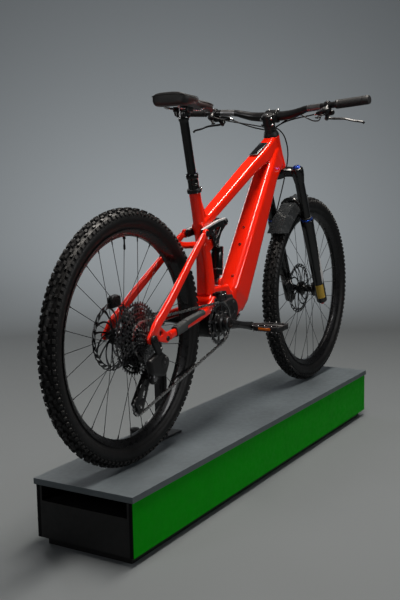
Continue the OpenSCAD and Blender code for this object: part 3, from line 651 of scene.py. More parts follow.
def seatpost():
    m = frame_along(BIKE @ Vector(SEAT_TOP), SEAT_UP)
    s = Shape()
    s.add(lathe([(15.2, -204), (17.3, -203), (17.3, 8), (17.3, 42), (19.6, 45), (20, 48), (20, 57),
                 (18.6, 60), (15.6, 61), (14.7, 60), (14.7, -203)], 48), 0, m)
    s.add(lathe([(17.4, -1), (23.2, -1), (23.6, 1), (23.6, 9), (22.6, 11), (17.4, 11)], 48), 1, m)
    s.add(block((12, 22, 12), (25, 0, 5), 2), 1, m)
    s.add(bolt(3.6, 2.0, (25, -11.5, 5), (0, -1, 0)), 2, m)
    for z in (20, 24, 28):
        s.add(lathe([(17.3, z), (17.8, z + 0.4), (17.8, z + 1.6), (17.3, z + 2)], 48), 0, m)
    piece("seatpost_collars", s, Matrix.Identity(4), [GLOSS, SATIN, STEEL], "frame", 35,
          ("seatpost_outer",))
    s = Shape()
    s.add(lathe([(0, -40), (14.3, -40), (14.3, 221), (15, 226), (17, 230), (17, 238), (15, 243),
                 (0, 244)], 48), 0, m)
    # Head of the post: a yoke that clamps both rails with two bolts
    h = BIKE @ move((-306, 0, 1021))
    s.add(block((40, 30, 20), (0, 0, -3), 4, 3), 1, h)
    s.add(block((38, 52, 7), (0, 0, 7), 2.5, 3), 1, h)
    s.add(block((36, 54, 5), (0, 0, 17), 2.0, 3), 1, h)
    for side in (-1, 1):
        s.add(axle_lathe([(5.5, -19), (6, -18), (6, 18), (5.5, 19)], 20), 1,
              h @ move((0, side * 21, 12)) @ turned("Z", 90))
    for x in (-21, 21):
        s.add(lathe([(0, -16), (2.4, -16), (2.4, 20), (4.2, 20), (4.2, 24), (0, 24)], 16), 2,
              h @ move((x, 0, -2)))
    piece("dropper_post", s, Matrix.Identity(4), [GLOSS, SATIN, STEEL], "saddle_post", 35,
          ("seatpost_inner",))


# ---------------------------------------------------------------- rear suspension

STAY_TOP = (-247, 0, 647)
SHOCK_FOOT = (-116, 0, 480)


def chainstays():
    s = Shape()
    for side in (-1, 1):
        path = curve([(-206, side * 37, 422), (-238, side * 40, 404), (-330, side * 56, 392),
                      (-430, side * 64, 379), (-524, side * 70, 364)], 5)
        n = len(path)
        sizes = [(max(13, 15 + 3 * sin(pi * i / n)), 30 - 6 * i / n, 6.5) for i in range(n)]
        s.add(bar(path, sizes))
        s.add(plate([(MAIN[0], MAIN[2], 16), (-238, 404, 14)], 12, 3, side * 37))
        s.add(plate([(-510, 367, 14), (HORST[0], HORST[2], 14)], 9.4, 2,
                   side * 69.4))
    s.add(axle_lathe([(12, -44), (12, 44)], 32), matrix=move((-238, 0, 404)))
    s.add(bar([(-262, -30, 402), (-268, 0, 402), (-262, 30, 402)], (16, 22, 7)))
    piece("chainstay_arms", fuse(s, 1.8, 6), BIKE, RED, "chainstay_arm", 180, ("chainstays",))
    p = Shape()
    for side in (-1, 1):
        p.add(bolt(10.5, 2.4, (MAIN[0], side * 43.4, MAIN[2]), (0, side, 0)), 0)
        p.add(bolt(7.5, 1.8, (HORST[0], side * 84.4, HORST[2]), (0, side, 0)), 0)
        p.add(axle_lathe([(5.2, 65), (5.2, 84)], 24), 0,
              on(HORST) @ mirror(side))
        p.add(bolt(4.5, 1.4, (-505, side * 74.4, 367), (0, side, 0)), 0)
    piece("suspension_bolts", p, BIKE, [SATIN], "chainstay_arm", 35, ())
    # Guard that wraps the right stay, with a ribbed strip that runs on below the chain
    g = Shape()
    path = curve([(-424, -64, 381.5), (-456, -66, 376.5), (-490, -68.6, 371)], 8)
    g.add(bar(path, (20.5, 32, 7)))
    path = curve([(-296, -52, 401), (-360, -59.4, 396.5), (-428, -64.4, 387.5)], 8)
    g.add(bar(path, [(17.5 + 2.5 * i / 16, 15 + 6 * i / 16, 5) for i in range(len(path))]))
    for k in range(11):
        at = np.array([-306, -53, 409]) + np.array([-174, -15, -21]) * k / 10
        g.add(block((10, 15, 5), bevel=1.8), 0,
              move(at) @ Matrix.Rotation(-0.12, 4, "Y"))
    piece("chainstay_guard", g, BIKE, GUARD, "chainstay_arm", 35, ())


def seatstays():
    s = Shape()
    for side in (-1, 1):
        path = curve([(-618, side * 78.5, 384), (-604, side * 78, 404), (-560, side * 75, 434),
                      (-505, side * 71, 474), (-400, side * 58, 548), (-300, side * 46, 617),
                      (-262, side * 40.5, 642)], 5)
        n = len(path) - 1
        sizes = [(11 + 5 * sin(pi * min(i / n + 0.1, 1)), 30 - 7 * i / n, 4.5)
                 for i in range(n + 1)]
        s.add(bar(path, sizes, (-0.6, 0, 0.8)))
        s.add(plate([(REAR[0], REAR[2], 15), (-612, 398, 13)], 9, 2, side * 78.5))
        s.add(flat([hull_outline([(HORST[0], HORST[2], 13.5), (-600, 398, 13), (-590, 366, 8)]),
                    ring_points(8, 24, (-583, 382))], 8.6, 2, side * 78.7))
        s.add(axle_lathe([(13.5, 33), (14.5, 35), (14.5, 43), (13.5, 45)], 36),
              matrix=move(STAY_TOP) @ mirror(side))
    s.add(bar([(-300, -45, 616), (-304, 0, 613), (-300, 45, 616)], (14, 22, 6),
              (0.6, 0, 0.8)))
    piece("seatstay_arms", fuse(s, 1.8, 6), BIKE, RED, "seatstay_arm", 180, ("seatstays",))
    p = Shape()
    for side in (-1, 1):
        p.add(bolt(10, 2.2, (STAY_TOP[0], side * 45.2, STAY_TOP[2]), (0, side, 0)), 0)
    for y0, y1, r in ((-90, 84, 6.2), (84, 89, 10), (-97.5, -96, 8)):
        p.add(axle_lathe([(r * 0.9, y0), (r, y0 + 0.8), (r, y1 - 0.8), (r * 0.9, y1)], 32), 0,
              on(REAR))
    p.add(bolt(7, 1.4, (REAR[0], 89, REAR[2])), 1)
    # Speed sensor beside the rotor
    p.add(block((20, 12, 12), (-596, 66, 352), 2.5, 3), 1)
    piece("rear_thru_axle", p, BIKE, [HUB, PLASTIC], "seatstay_arm", 35, ("rear_axle",))


def caliper(name, at, body, replaced, matrix=None):
    """A disc brake caliper round its rotor slot, with its fins, bolts and banjo."""
    s = Shape()
    for middle, foot, face in ((-7, -13, -14.6), (7, 12, 13.6)):
        s.add(block((50, 10, 34), (0, middle, 0), 3.5, 3), 0, matrix)
        s.add(axle_lathe([(13.5, foot), (12, face), (4, face)], 28), 0, matrix)
    s.add(block((46, 22, 8), (0, 0, 15), 2.5, 3), 0, matrix)
    for k in range(4):
        s.add(block((3, 20, 8), (-12 + 8 * k, 0, 20), 1, 2), 1, matrix)
    for x in (-19, 19):
        s.add(bolt(4.4, 2.6, (x, 12.4, -6)), 2, matrix)
    s.add(axle_lathe([(4.2, 10), (5.2, 11), (5.2, 17), (4.2, 18)], 20), 2,
          (matrix or Matrix.Identity(4)) @ move((-4, 0, 13)))
    piece(name, s, at, [SATIN, SHOCK_GREY, STEEL], body, 35, (replaced,))


def rocker():
    s = Shape()
    main = [(-259, 647), (-254, 658), (-240, 662), (-200, 672), (-150, 684), (-104, 690),
            (-92, 689), (-86, 680), (-90, 669), (-104, 664), (-130, 645), (-156, 607), (-166, 600),
            (-176, 602), (-180, 614), (-192, 636), (-214, 640), (-247, 635), (-256, 638)]
    window = [(-196, 652), (-152, 664), (-134, 664), (-152, 640), (-166, 628), (-176, 640)]
    for side in (-1, 1):
        s.add(flat([main, window], 8.6, 2.2, side * 28), 0)
        # A light grey strip along the upper edge of each plate: painted highlight
        rim = [(-252, 659.5), (-240, 664.2), (-200, 674.2), (-150, 686.2), (-104, 692),
               (-104, 686), (-150, 679.5), (-200, 667.5), (-240, 657.5)]
        s.add(flat([rim], 8.8, 0.6, side * 28), 1)
        for x, z, r in ((ROCKER[0], ROCKER[2], 9), (SHOCK_TOP[0], SHOCK_TOP[2], 8)):
            s.add(bolt(r, 2.4, (x, side * 32.2, z), (0, side, 0)), 2)
        s.add(axle_lathe([(5.2, 24), (5.2, 47)], 24), 0,
              move(STAY_TOP) @ mirror(side))
    s.add(axle_lathe([(6, -33), (6, 33)], 24), 0, on(ROCKER))
    s.add(axle_lathe([(6, -33), (6, 33)], 24), 0,
          on(SHOCK_TOP))
    piece("rocker_plates", s, BIKE, [LINK, TOP_EDGE_HIGHLIGHT, SATIN], "rocker", 30, ("rocker_link",))


def shock():
    foot = BIKE @ Vector(SHOCK_FOOT)
    m = frame_along(foot, SHOCK_UP)
    top = (pivot("shock_tilt") - foot).length * 1000
    s = Shape()
    s.add(axle_lathe([(10.5, -12.5), (12.5, -11), (12.5, 11), (10.5, 12.5)], 36), 0,
          move((0, 0, top)))
    s.add(lathe([(8, top - 29.4), (16, top - 29), (17.4, top - 27), (17.4, top - 12), (13, top - 7),
                 (6, top - 6)], 40), 0)
    s.add(block((38, 18, 17), (-18, 0, top - 19), 4, 3), 0)
    s.add(lathe([(0, top - 78), (9, top - 77), (12.6, top - 73), (12.8, top - 70), (12.8, top - 66),
                 (12.2, top - 65), (12.2, top - 14), (11, top - 8), (0, top - 7)], 40), 1,
          move((-35, 0, 0)))
    for k in range(5):
        z = top - 62 + 7 * k
        s.add(lathe([(12.1, z), (12.9, z + 0.7), (12.9, z + 2.3), (12.1, z + 3)], 40), 0,
              move((-35, 0, 0)))
    s.add(axle_lathe([(6.5, 9), (7.5, 10), (7.5, 15), (6, 16), (0, 16)], 24), 2,
          move((-19, 0, top - 20)))
    s.add(axle_lathe([(7, -16), (8, -15), (8, -9), (6, -8)], 24), 3,
          move((-19, 0, top - 20)))
    s.add(lathe([(6, top - 133), (6.1, top - 132), (6.1, top - 27)], 32), 4)
    piece("shock_reservoir", s, m, [SHOCK_GREY, SATIN, BLUE, RED_KNOB, STEEL], "shock_upper", 35,
          ("shock_head",))
    s = Shape()
    s.add(axle_lathe([(10.5, -11.4), (12, -10.2), (12, 10.2), (10.5, 11.4)], 36), 0)
    can = [(8, 9), (10, 10), (10.6, 14), (11, 20), (18.6, 21.4), (20.2, 23), (20.7, 26), (20.7, 96),
           (20, 98)]
    for k in range(4):
        z = 98 + 4.4 * k
        can += [(20, z), (21, z + 0.8), (21, z + 2.6), (20, z + 3.4)]
    can += [(19, 117.6), (8, 118), (6.6, 117)]
    s.add(lathe(can, 48), 1)
    s.add(lathe([(20.6, 40), (21, 40.5), (21, 43.5), (20.6, 44)], 48), 2)
    s.add(bolt(3.6, 3, (20, 0, 32), (1, 0, 0), False), 0)
    piece("shock_air_can", s, m, [SHOCK_GREY, GLOSS, SHOCK_GREY], "shock_lower", 35,
          ("shock_can",))


# ---------------------------------------------------------------- wheels

CORE = TYRE_R - TYRE_W / 2
RIM_INNER = RIM_R - 21
SPOKES = 28
# Y of the hub flanges and of the rotors, from the middle of the wheel
REAR_FLANGES = (-22, 30)
FRONT_FLANGES = (-30, 22)
REAR_ROTOR_Y = 50.5
FRONT_ROTOR_Y = 38


def knob(theta, phi, length, width, low, high, skew=0.0):
    """A tapered tread block at wheel angle theta and section angle phi from the crown."""
    out = []
    for h, share in ((low, 1.12), (high - 1.4, 0.95), (high, 0.80)):
        for u, w in ((-1, -1), (1, -1), (1, 1), (-1, 1)):
            p = phi + w * width * share / 2 / high
            r = CORE + h * cos(p)
            y = h * sin(p)
            t = theta + (u * length * share / 2 + w * skew) / TYRE_R
            out.append((r * cos(t), y, r * sin(t)))
    faces = [(3, 2, 1, 0), (8, 9, 10, 11)]
    for a in (0, 4):
        faces += [(a + i, a + (i + 1) % 4, a + 4 + (i + 1) % 4, a + 4 + i) for i in range(4)]
    return out, faces


def tyre(end, place):
    """The carcass with ribbed sidewalls, and rows of knobs that alternate round it."""
    half = TYRE_W / 2
    ring = [(RIM_R - 4, 14.4), (RIM_R + 1, 16.4)]
    for i in range(29):
        a = radians(-48 + 276 * i / 28)
        wave = 0.35 * cos(i * pi) if 1 < i < 7 or 21 < i < 27 else 0
        ring.append((CORE + (half - 7.2 + wave) * sin(a), (half - 3.8 + wave) * cos(a)))
    ring += [(RIM_R + 1, -16.4), (RIM_R - 4, -14.4)]
    inner = [(CORE + (half - 9) * sin(radians(a)), (half - 7) * cos(radians(a)))
             for a in range(230, -60, -20)]
    s = Shape()
    s.add(axle_lathe(ring + inner, 144, True), 1)
    pitches = 116
    for k in range(pitches):
        t = k * TAU / pitches
        step = TAU / pitches
        wide = k % 2
        for side in (-1, 1):
            s.add(knob(t + 0.08 * step * side, side * (0.34 if wide else 0.17), 12.5, 8.6, 25.5,
                       half, side * 1.2), 0)
            if wide:
                s.add(knob(t + step * 0.55, side * 0.60, 11, 6.4, 25.5, half - 0.4, -side), 0)
            s.add(knob(t + step * 0.5, side * 0.97, 13 if wide else 10.5, 9.5, 25, half - 0.2,
                       side * 0.8), 0)
            s.add(knob(t, side * 1.25, 5, 4, 26, half - 2.6), 0)
    piece(end + "_tyre_tread", s, place, [RUBBER, SIDEWALL], end + "_wheel", 32,
          (end + "_tyre",))


def rim(end, place):
    inner = RIM_INNER
    ring = [(inner, -5), (inner + 0.6, -7.5), (inner + 3, -9.3), (RIM_R - 9, -15.6),
            (RIM_R - 3, -18.4), (RIM_R - 0.6, -18.9), (RIM_R, -17.8), (RIM_R, -16.4),
            (RIM_R - 5, -15.2), (RIM_R - 7, -12)]
    ring = ring + [(r, -y) for r, y in reversed(ring)]
    s = Shape().add(axle_lathe(ring, 144, True))
    # Valve, which points at the hub from the top of the rim
    s.add(lathe([(0, -38), (2.2, -38), (3.2, -36), (3.2, -24), (2.4, -23), (2.4, -8), (4.4, -7),
                 (4.4, -1), (0, -1)], 14), 0, move((-3, 0, inner)))
    piece(end + "_rim_profile", s, place, RIM, end + "_wheel", 32, (end + "_rim",))


def lacing(s, flanges):
    """Crossed spokes and their nipples; on each flange every second one leans the other way."""
    hub_r = 26
    for i in range(SPOKES):
        turn = TAU * i / SPOKES
        lean = radians(65) * (1 if i % 4 < 2 else -1)
        y = flanges[i % 2] - copysign(1.5, lean)
        a = np.array([hub_r * cos(turn + lean), y, hub_r * sin(turn + lean)])
        b = np.array([RIM_INNER * cos(turn), -copysign(1.5, lean), RIM_INNER * sin(turn)])
        s.add(tube([a, a + (b - a) * 0.04, a + (b - a) * 0.5, b], [1.25, 0.95, 0.9, 1.0], 8), 0)
        s.add(tube([b - (b - a) * 0.045, b - (b - a) * 0.04, b], [1.2, 1.9, 2.0], 8), 1)


def hub_shape(s, flanges, ends, mat):
    lo, hi = min(flanges), max(flanges)
    profile = [(7, ends[0]), (9.6, ends[0] + 0.6), (9.8, lo - 12), (13.5, lo - 6), (18, lo - 5),
               (28.4, lo - 3.2), (28.8, lo), (28.4, lo + 3.2), (20, lo + 5), (14.6, lo + 12),
               (13.8, (lo + hi) / 2), (14.6, hi - 12), (20, hi - 5), (28.4, hi - 3.2), (28.8, hi),
               (28.4, hi + 3.2), (18, hi + 5), (min(13.5, 12), min(hi + 5.2, ends[1] - 1)),
               (9.8, ends[1] - 0.6), (7, ends[1])]
    s.add(axle_lathe(profile, 56), mat)


def rotor(end, at, place):
    """A vented disc on curved arms."""
    wave = [(ROTOR_R - 0.9 + 0.8 * cos(24 * TAU * i / 192)) for i in range(192)]
    outer = [polar(r, TAU * i / 192) for i, r in enumerate(wave)]
    holes = [ring_points(ROTOR_R - 15.5, 96)]
    for k in range(24):
        slot = [(ROTOR_R - 4.4, -0.02), (ROTOR_R - 3.6, 0.05), (ROTOR_R - 8, 0.16),
                (ROTOR_R - 12.4, 0.2), (ROTOR_R - 12.8, 0.13), (ROTOR_R - 9, 0.06)]
        holes.append([polar(r, a + k * TAU / 24) for r, a in slot])
    s = Shape().add(flat([outer] + holes, 1.9, 0.2, at), 0)
    s.add(flat([ring_points(24, 48), ring_points(14, 32)], 1.9, 0.2, at), 0)
    for k in range(7):
        for lean, r_in in ((0.85, 18), (0.2, 20)):
            line = []
            for i in range(9):
                u = i / 8
                a = k * TAU / 7 + lean * u ** 1.3
                r = r_in + (ROTOR_R - 14 - r_in) * u
                line.append((r * cos(a), at, r * sin(a)))
            s.add(bar(line, [(1.8, 7.6 - 2.6 * sin(pi * i / 8), 0.4) for i in range(9)],
                      np.cross(np.array(line[-1]) - np.array(line[0]), (0, 1, 0)), 1), 0)
    s.add(axle_lathe([(14, at - 3.4), (19, at - 3.4), (20, at - 1.2), (20, at + 1.2),
                      (19, at + 3.4), (14, at + 3.4)], 40), 1)
    piece(end + "_rotor_disc", s, place, [ROTOR, SATIN], end + "_wheel", 32, (end + "_rotor",))


def wheels():
    tyre("rear", WHEEL_R)
    rim("rear", WHEEL_R)
    s = Shape()
    lacing(s, REAR_FLANGES)
    piece("rear_spoke_set", s, WHEEL_R, [SPOKE, SATIN], "rear_wheel", 35, ("rear_spokes",))
    s = Shape()
    hub_shape(s, REAR_FLANGES, (-27, 73.6), 0)
    piece("rear_hub_shell", s, WHEEL_R, [HUB], "rear_wheel", 35, ("rear_hub",))
    rotor("rear", REAR_ROTOR_Y, WHEEL_R)
    tyre("front", WHEEL_F)
    rim("front", WHEEL_F)
    s = Shape()
    lacing(s, FRONT_FLANGES)
    hub_shape(s, FRONT_FLANGES, (-54.5, 54.5), 2)
    piece("front_spoke_set", s, WHEEL_F, [SPOKE, SATIN, HUB], "front_wheel", 35,
          ("front_spokes_hub",))
    rotor("front", FRONT_ROTOR_Y, WHEEL_F)


# ---------------------------------------------------------------- drivetrain

PITCH = 12.7
RING_TEETH = 34
PULLEY_TEETH = 12
COGS = [51, 45, 39, 33, 28, 24, 21, 18, 16, 14, 12, 10]
COG_STEP = 3.65
DRIVEN = 5
CHAIN_Y = -50.0


def pitch_r(teeth):
    return teeth * PITCH / TAU


def toothed(teeth, r, root=3.6, tip=3.2):
    """Outline of a sprocket: four points a tooth."""
    out = []
    for k in range(teeth):
        for part, radius in ((-0.34, r - root), (-0.13, r + tip),
                             (0.13, r + tip), (0.34, r - root)):
            out.append(polar(radius, (k + part) * TAU / teeth))
    return out


def cassette():
    s = Shape()
    first = -CHAIN_Y - DRIVEN * COG_STEP
    for i, teeth in enumerate(COGS):
        r = pitch_r(teeth)
        inner = max(pitch_r(COGS[min(i + 1, 11)]) - 12, 13)
        holes = [ring_points(12.5, 24)]
        if teeth > 20:
            n = 8 if teeth > 30 else 6
            for k in range(n):
                a0, a1 = (k + 0.14) * TAU / n, (k + 0.80) * TAU / n
                lo, hi = max(inner, 22), r - 8.5
                if hi - lo > 5:
                    holes.append(arc_window(hi, lo, a0, a1, 6, 0.12))
        y = -(first + i * COG_STEP)
        s.add(flat([toothed(teeth, r)] + holes, 1.7, 0.25, y), 0, turned("Y", 7 * i))
    y0, y1 = -(first + 11 * COG_STEP) - 1.6, -first + 1
    s.add(axle_lathe([(8, y0), (13.8, y0), (13.8, y1), (8, y1)], 32), 1)
    s.add(axle_lathe([(8, y0 - 2), (11, y0 - 1.8), (11.2, y0), (8, y0)], 32), 2)
    piece("cassette_cogs", s, WHEEL_R, [COG, HUB, STEEL], "cassette_body", 30, ("cassette",))


def chain_path():
    """The chain's line round the chainring, both pulleys and the driven cog, evenly spaced."""
    turns = [(BB, pitch_r(RING_TEETH), 1), (TENSION, pitch_r(PULLEY_TEETH), 1),
             (GUIDE, pitch_r(PULLEY_TEETH), -1), (REAR, pitch_r(COGS[DRIVEN]), 1)]

    def tangent(a, b):
        dx, dz = b[0][0] - a[0][0], b[0][2] - a[0][2]
        return atan2(dz, dx) + acos((a[2] * a[1] - b[2] * b[1]) / hypot(dx, dz))
    points = []
    for i, here in enumerate(turns):
        start, stop = tangent(turns[i - 1], here), tangent(here, turns[(i + 1) % 4])
        sweep = -((start - stop) % TAU) if here[2] > 0 else (stop - start) % TAU
        for k in range(41):
            a = start + sweep * k / 40
            r = here[1] * here[2]
            points.append((here[0][0] + r * cos(a), here[0][2] + r * sin(a)))
    p = np.array(points + points[:1])
    d = np.concatenate([[0], np.cumsum(np.linalg.norm(np.diff(p, axis=0), axis=1))])
    links = int(round(d[-1] / PITCH / 2)) * 2
    at = np.arange(links) * d[-1] / links
    return np.stack([np.interp(at, d, p[:, 0]), np.interp(at, d, p[:, 1])], 1)


def chain():
    """Waisted side plates, inner and outer in turn, with a pin and a roller for each link.
    The upper and lower runs split in two at the Horst pivot: the front part is left in place,
    unparented, and the rear part rides on the seatstays."""
    path = chain_path()
    n = len(path)
    split = HORST[0]
    parts = {"front": Shape(), "rear": Shape()}
    for k in range(n):
        a, b = path[k], path[(k + 1) % n]
        mid, d = (a + b) / 2, b - a
        length = np.linalg.norm(d)
        # Along the link and across it, in the XZ plane
        u = d / length
        w = np.array([-u[1], u[0]])
        above = [mid + u * x * length + w * z for x, z in ((-0.5, 4.0), (0, 3.0), (0.5, 4.0))]
        end = [b + 4.0 * (u * cos(t) + w * sin(t)) for t in (1.0, 0.4, -0.4, -1.0)]
        below = [mid + u * x * length - w * z for x, z in ((0.5, 4.0), (0, 3.0), (-0.5, 4.0))]
        start = [a - 4.0 * (u * cos(t) + w * sin(t)) for t in (1.0, 0.4, -0.4, -1.0)]
        outline = [tuple(p) for p in above + end + below + start]
        s = parts["front" if mid[0] > split else "rear"]
        for y in ((-2.55, 2.55) if k % 2 else (-1.6, 1.6)):
            o = len(outline)
            half = 0.45
            verts = [(x, CHAIN_Y + y - half, z) for x, z in outline]
            verts += [(x, CHAIN_Y + y + half, z) for x, z in outline]
            faces = [tuple(range(o)), tuple(reversed(range(o, 2 * o)))]
            faces += [(i, i + o, (i + 1) % o + o, (i + 1) % o) for i in range(o)]
            s.add((verts, faces), 0)
        here = move((a[0], CHAIN_Y, a[1]))
        s.add(axle_lathe([(1.8, -3.1), (1.8, 3.1)], 10), 1, here)
        s.add(axle_lathe([(3.7, -1.1), (3.7, 1.1)], 12), 0, here)
    front = piece("chain_links_front", parts["front"], BIKE, [CHAIN, STEEL], "frame", 35,
                  ("chain_front",))
    front.parent = None
    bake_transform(front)
    piece("chain_links_rear", parts["rear"], BIKE, [CHAIN, STEEL], "seatstay_arm", 35,
          ("chain_rear",))


def derailleur():
    s = Shape()
    s.add(plate([(REAR[0], REAR[2], 13), (-612, 330, 11)], 9, 2.5, -90.6))
    s.add(plate([(-604, 322, 14), (-580, 298, 22), (-590, 280, 22), (-640, 286, 16),
                              (-648, 308, 12)], 21, 9, -85.5))
    s.add(plate([(-588, 298, 18), (GUIDE[0], GUIDE[2], 18)], 14, 4, -77))
    s.add(axle_lathe([(14, -97), (18, -94), (20, -86), (20, -72)], 36),
          matrix=move((-590, 0, 300)))
    body = Shape().add(fuse(s, 1.6, 5))
    for x, z, r in ((REAR[0], REAR[2], 6.5), (-604, 342, 4), (-578, 312, 4)):
        body.add(bolt(r, 2.0, (x, -95.5, z), (0, -1, 0)), 1)
    body.add(bolt(3.2, 1.5, (-590, -97, 300), (0, -1, 0)), 1)
    body.add(axle_lathe([(8, -86), (9.5, -85), (9.5, -71), (8, -70)], 28), 1,
             on(GUIDE))
    piece("derailleur_linkage", body, BIKE, [SATIN, SHOCK_GREY], "seatstay_arm", 35,
          ("derailleur_body",))
    c = Shape()
    gx, gz, tx, tz = GUIDE[0], GUIDE[2], TENSION[0], TENSION[2]
    mx, mz = (gx + tx) / 2, (gz + tz) / 2
    for y, grow in ((-57, 0), (-43.5, -2)):
        outer = hull_outline([(gx, gz, 15 + grow), (mx + 3, mz, 11), (tx, tz, 17 + grow),
                              (tx - 22, tz + 14, 5)])
        hole = hull_outline([(mx + 6, mz + 16, 4.5), (mx - 4, mz - 12, 4.5)], 16)
        c.add(flat([outer, hole, ring_points(7.5, 24, (gx + 0.5, gz)),
                    ring_points(7.5, 24, (tx + 0.5, tz))], 2.2, 0.5, y), 0)
        for x, z in ((gx, gz), (tx, tz)):
            washer = [ring_points(7.8, 24, (x, z)), ring_points(3.6, 16, (x, z))]
            c.add(flat(washer, 1.6, 0.3, y), 0)
    for x, z in ((gx, gz), (tx, tz)):
        c.add(axle_lathe([(3.5, -58), (3.5, -42)], 16), 1, move((x, 0, z)))
        c.add(bolt(4.4, 1.6, (x, -58, z), (0, -1, 0)), 1)
    c.add(axle_lathe([(6, -84), (6, -58)], 20), 0, move((gx, 0, gz)))
    piece("derailleur_cage_plates", c, BIKE, [SATIN, STEEL], "cage", 35, ("derailleur_cage",))
    for name, at in (("guide", GUIDE), ("tension", TENSION)):
        p = Shape()
        r = pitch_r(PULLEY_TEETH)
        holes = [ring_points(3.6, 20)] + [ring_points(2.6, 14, polar(12.2, k * TAU / 6))
                                          for k in range(6)]
        p.add(flat([toothed(PULLEY_TEETH, r, 4.0, 2.4)] + holes, 3.4, 0.5, CHAIN_Y), 0)
        p.add(axle_lathe([(3.6, -53), (7, -52.6), (7, -47.4), (3.6, -47)], 24), 1)
        piece(name + "_jockey_wheel", p, centred(at), [PLASTIC, SATIN], name + "_wheel", 35,
              (name + "_pulley",))


def cranks():
    tilt = radians(11)
    length = hypot(PEDAL_R[0] - BB[0], PEDAL_R[2] - BB[2])
    for name, side, half, node in (("right", -1, 0, "crank_arm_right"),
                                   ("left", 1, pi, "crank_arm_left")):
        m = Matrix.Rotation(tilt + half, 4, "Y")
        s = Shape()
        arm = [(0, side * 78.5, 0), (24, side * 78.5, 0), (60, side * 79, 0),
               (length * 0.6, side * 79, 0), (length - 20, side * 79, 0), (length, side * 79, 0)]
        sizes = [(15, 38, 7), (14.5, 34, 6.5), (13.5, 27, 6), (12.5, 24, 5.5), (13, 26, 6),
                 (13.5, 28, 6)]
        f = Shape().add(bar(arm, sizes))
        f.add(axle_lathe([(20, 70), (21.5, 72), (21.5, 85), (18, 88)], 48),
              matrix=mirror(side))
        f.add(axle_lathe([(13, 72.5), (14.4, 74), (14.4, 84), (13, 86)], 40),
              matrix=move((length, 0, 0)) @ mirror(side))
        f.add(bar([(26, side * 85.8, 0), (60, side * 85.6, 0), (length - 26, side * 85, 0)],
                  [(2.6, 12, 1), (2.6, 9, 1), (2.6, 7, 1)]))
        s.add(fuse(f, 1.3, 4), 0)
        s.add(axle_lathe([(11, 3), (11, 72)], 32), 1, mirror(side))
        s.add(axle_lathe([(9.5, 86), (12.5, 88.4), (14.5, 88.4), (14.5, 90.2), (8, 90.2), (6, 87),
                          (0, 87)], 32), 1, mirror(side))
        s.add(bolt(4.2, 2.4, (10, side * 76, 17), (0, 0, 1)), 2)
        piece("crank_" + name, s, CRANK @ m, [CRANK_MAT, SATIN, STEEL], "crankset", 35, (node,))
    c = Shape()
    r = pitch_r(RING_TEETH)
    holes = [ring_points(30, 40)]
    n = 8
    for k in range(n):
        a0, a1 = (k + 0.12) * TAU / n, (k + 0.88) * TAU / n
        holes.append(arc_window(58, 44, a0, a1, 5))
    c.add(flat([toothed(RING_TEETH, r)] + holes, 3.0, 0.4, CHAIN_Y), 0)
    spider = [ring_points(40, 64), ring_points(11.2, 32)]
    c.add(flat(spider, 4.0, 0.8, CHAIN_Y - 2), 1)
    c.add(axle_lathe([(11.2, -70), (24, -70), (30, -66), (30, -54), (38, -50), (11.2, -50)], 48), 1)
    for k in range(n):
        x, z = polar(34.5, k * TAU / n)
        c.add(bolt(3.4, 1.6, (x, CHAIN_Y - 4.2, z), (0, -1, 0)), 2)
    piece("chainring_spider", c, CRANK @ Matrix.Rotation(tilt, 4, "Y"), [COG, SATIN, STEEL],
          "crankset", 30, ("chainring",))


def pedal(name, at, side, body, node):
    m = centred(at) @ mirror(side)
    s = Shape()
    outer = rounded(98, 100, 20, 5)
    windows = []
    for sx in (-1, 1):
        for y0, y1 in ((-40, -4), (4, 38)):
            o = rounded(27, y1 - y0, 6, 3)
            windows.append([(x + sx * 26, y + (y0 + y1) / 2) for x, y in o])
    s.add(swapped(flat([outer] + windows, 16, 2.2)), 0, move((0, 155, 0)))
    s.add(axle_lathe([(6, 71), (7, 73), (7, 84), (9, 85), (9, 92), (11, 96), (11, 200), (9, 204)],
                     28), 0)
    s.add(axle_lathe([(6.8, 72), (6.8, 95)], 24), 1)
    for sx in (-1, 1):
        for y in (112, 130, 155, 180, 198):
            for up in (-1, 1):
                s.add(lathe([(2.2, 0), (1.7, 3.6), (0.8, 4.2)], 8), 1,
                      move((sx * 44, y, up * 7.4)) @ turned("X", 90 - 90 * up))
        s.add(block((4, 44, 9), (sx * 48.6, 155, 0), 1.2, 2), 2)
    piece("pedal_body_" + name, s, m, [PLASTIC, STEEL, REFLECTOR], body, 35, (node,))


# ---------------------------------------------------------------- fork


def leg(side):
    """The axis of a fork leg, ahead of the steering axis."""
    return move((14, side * 70, 0))


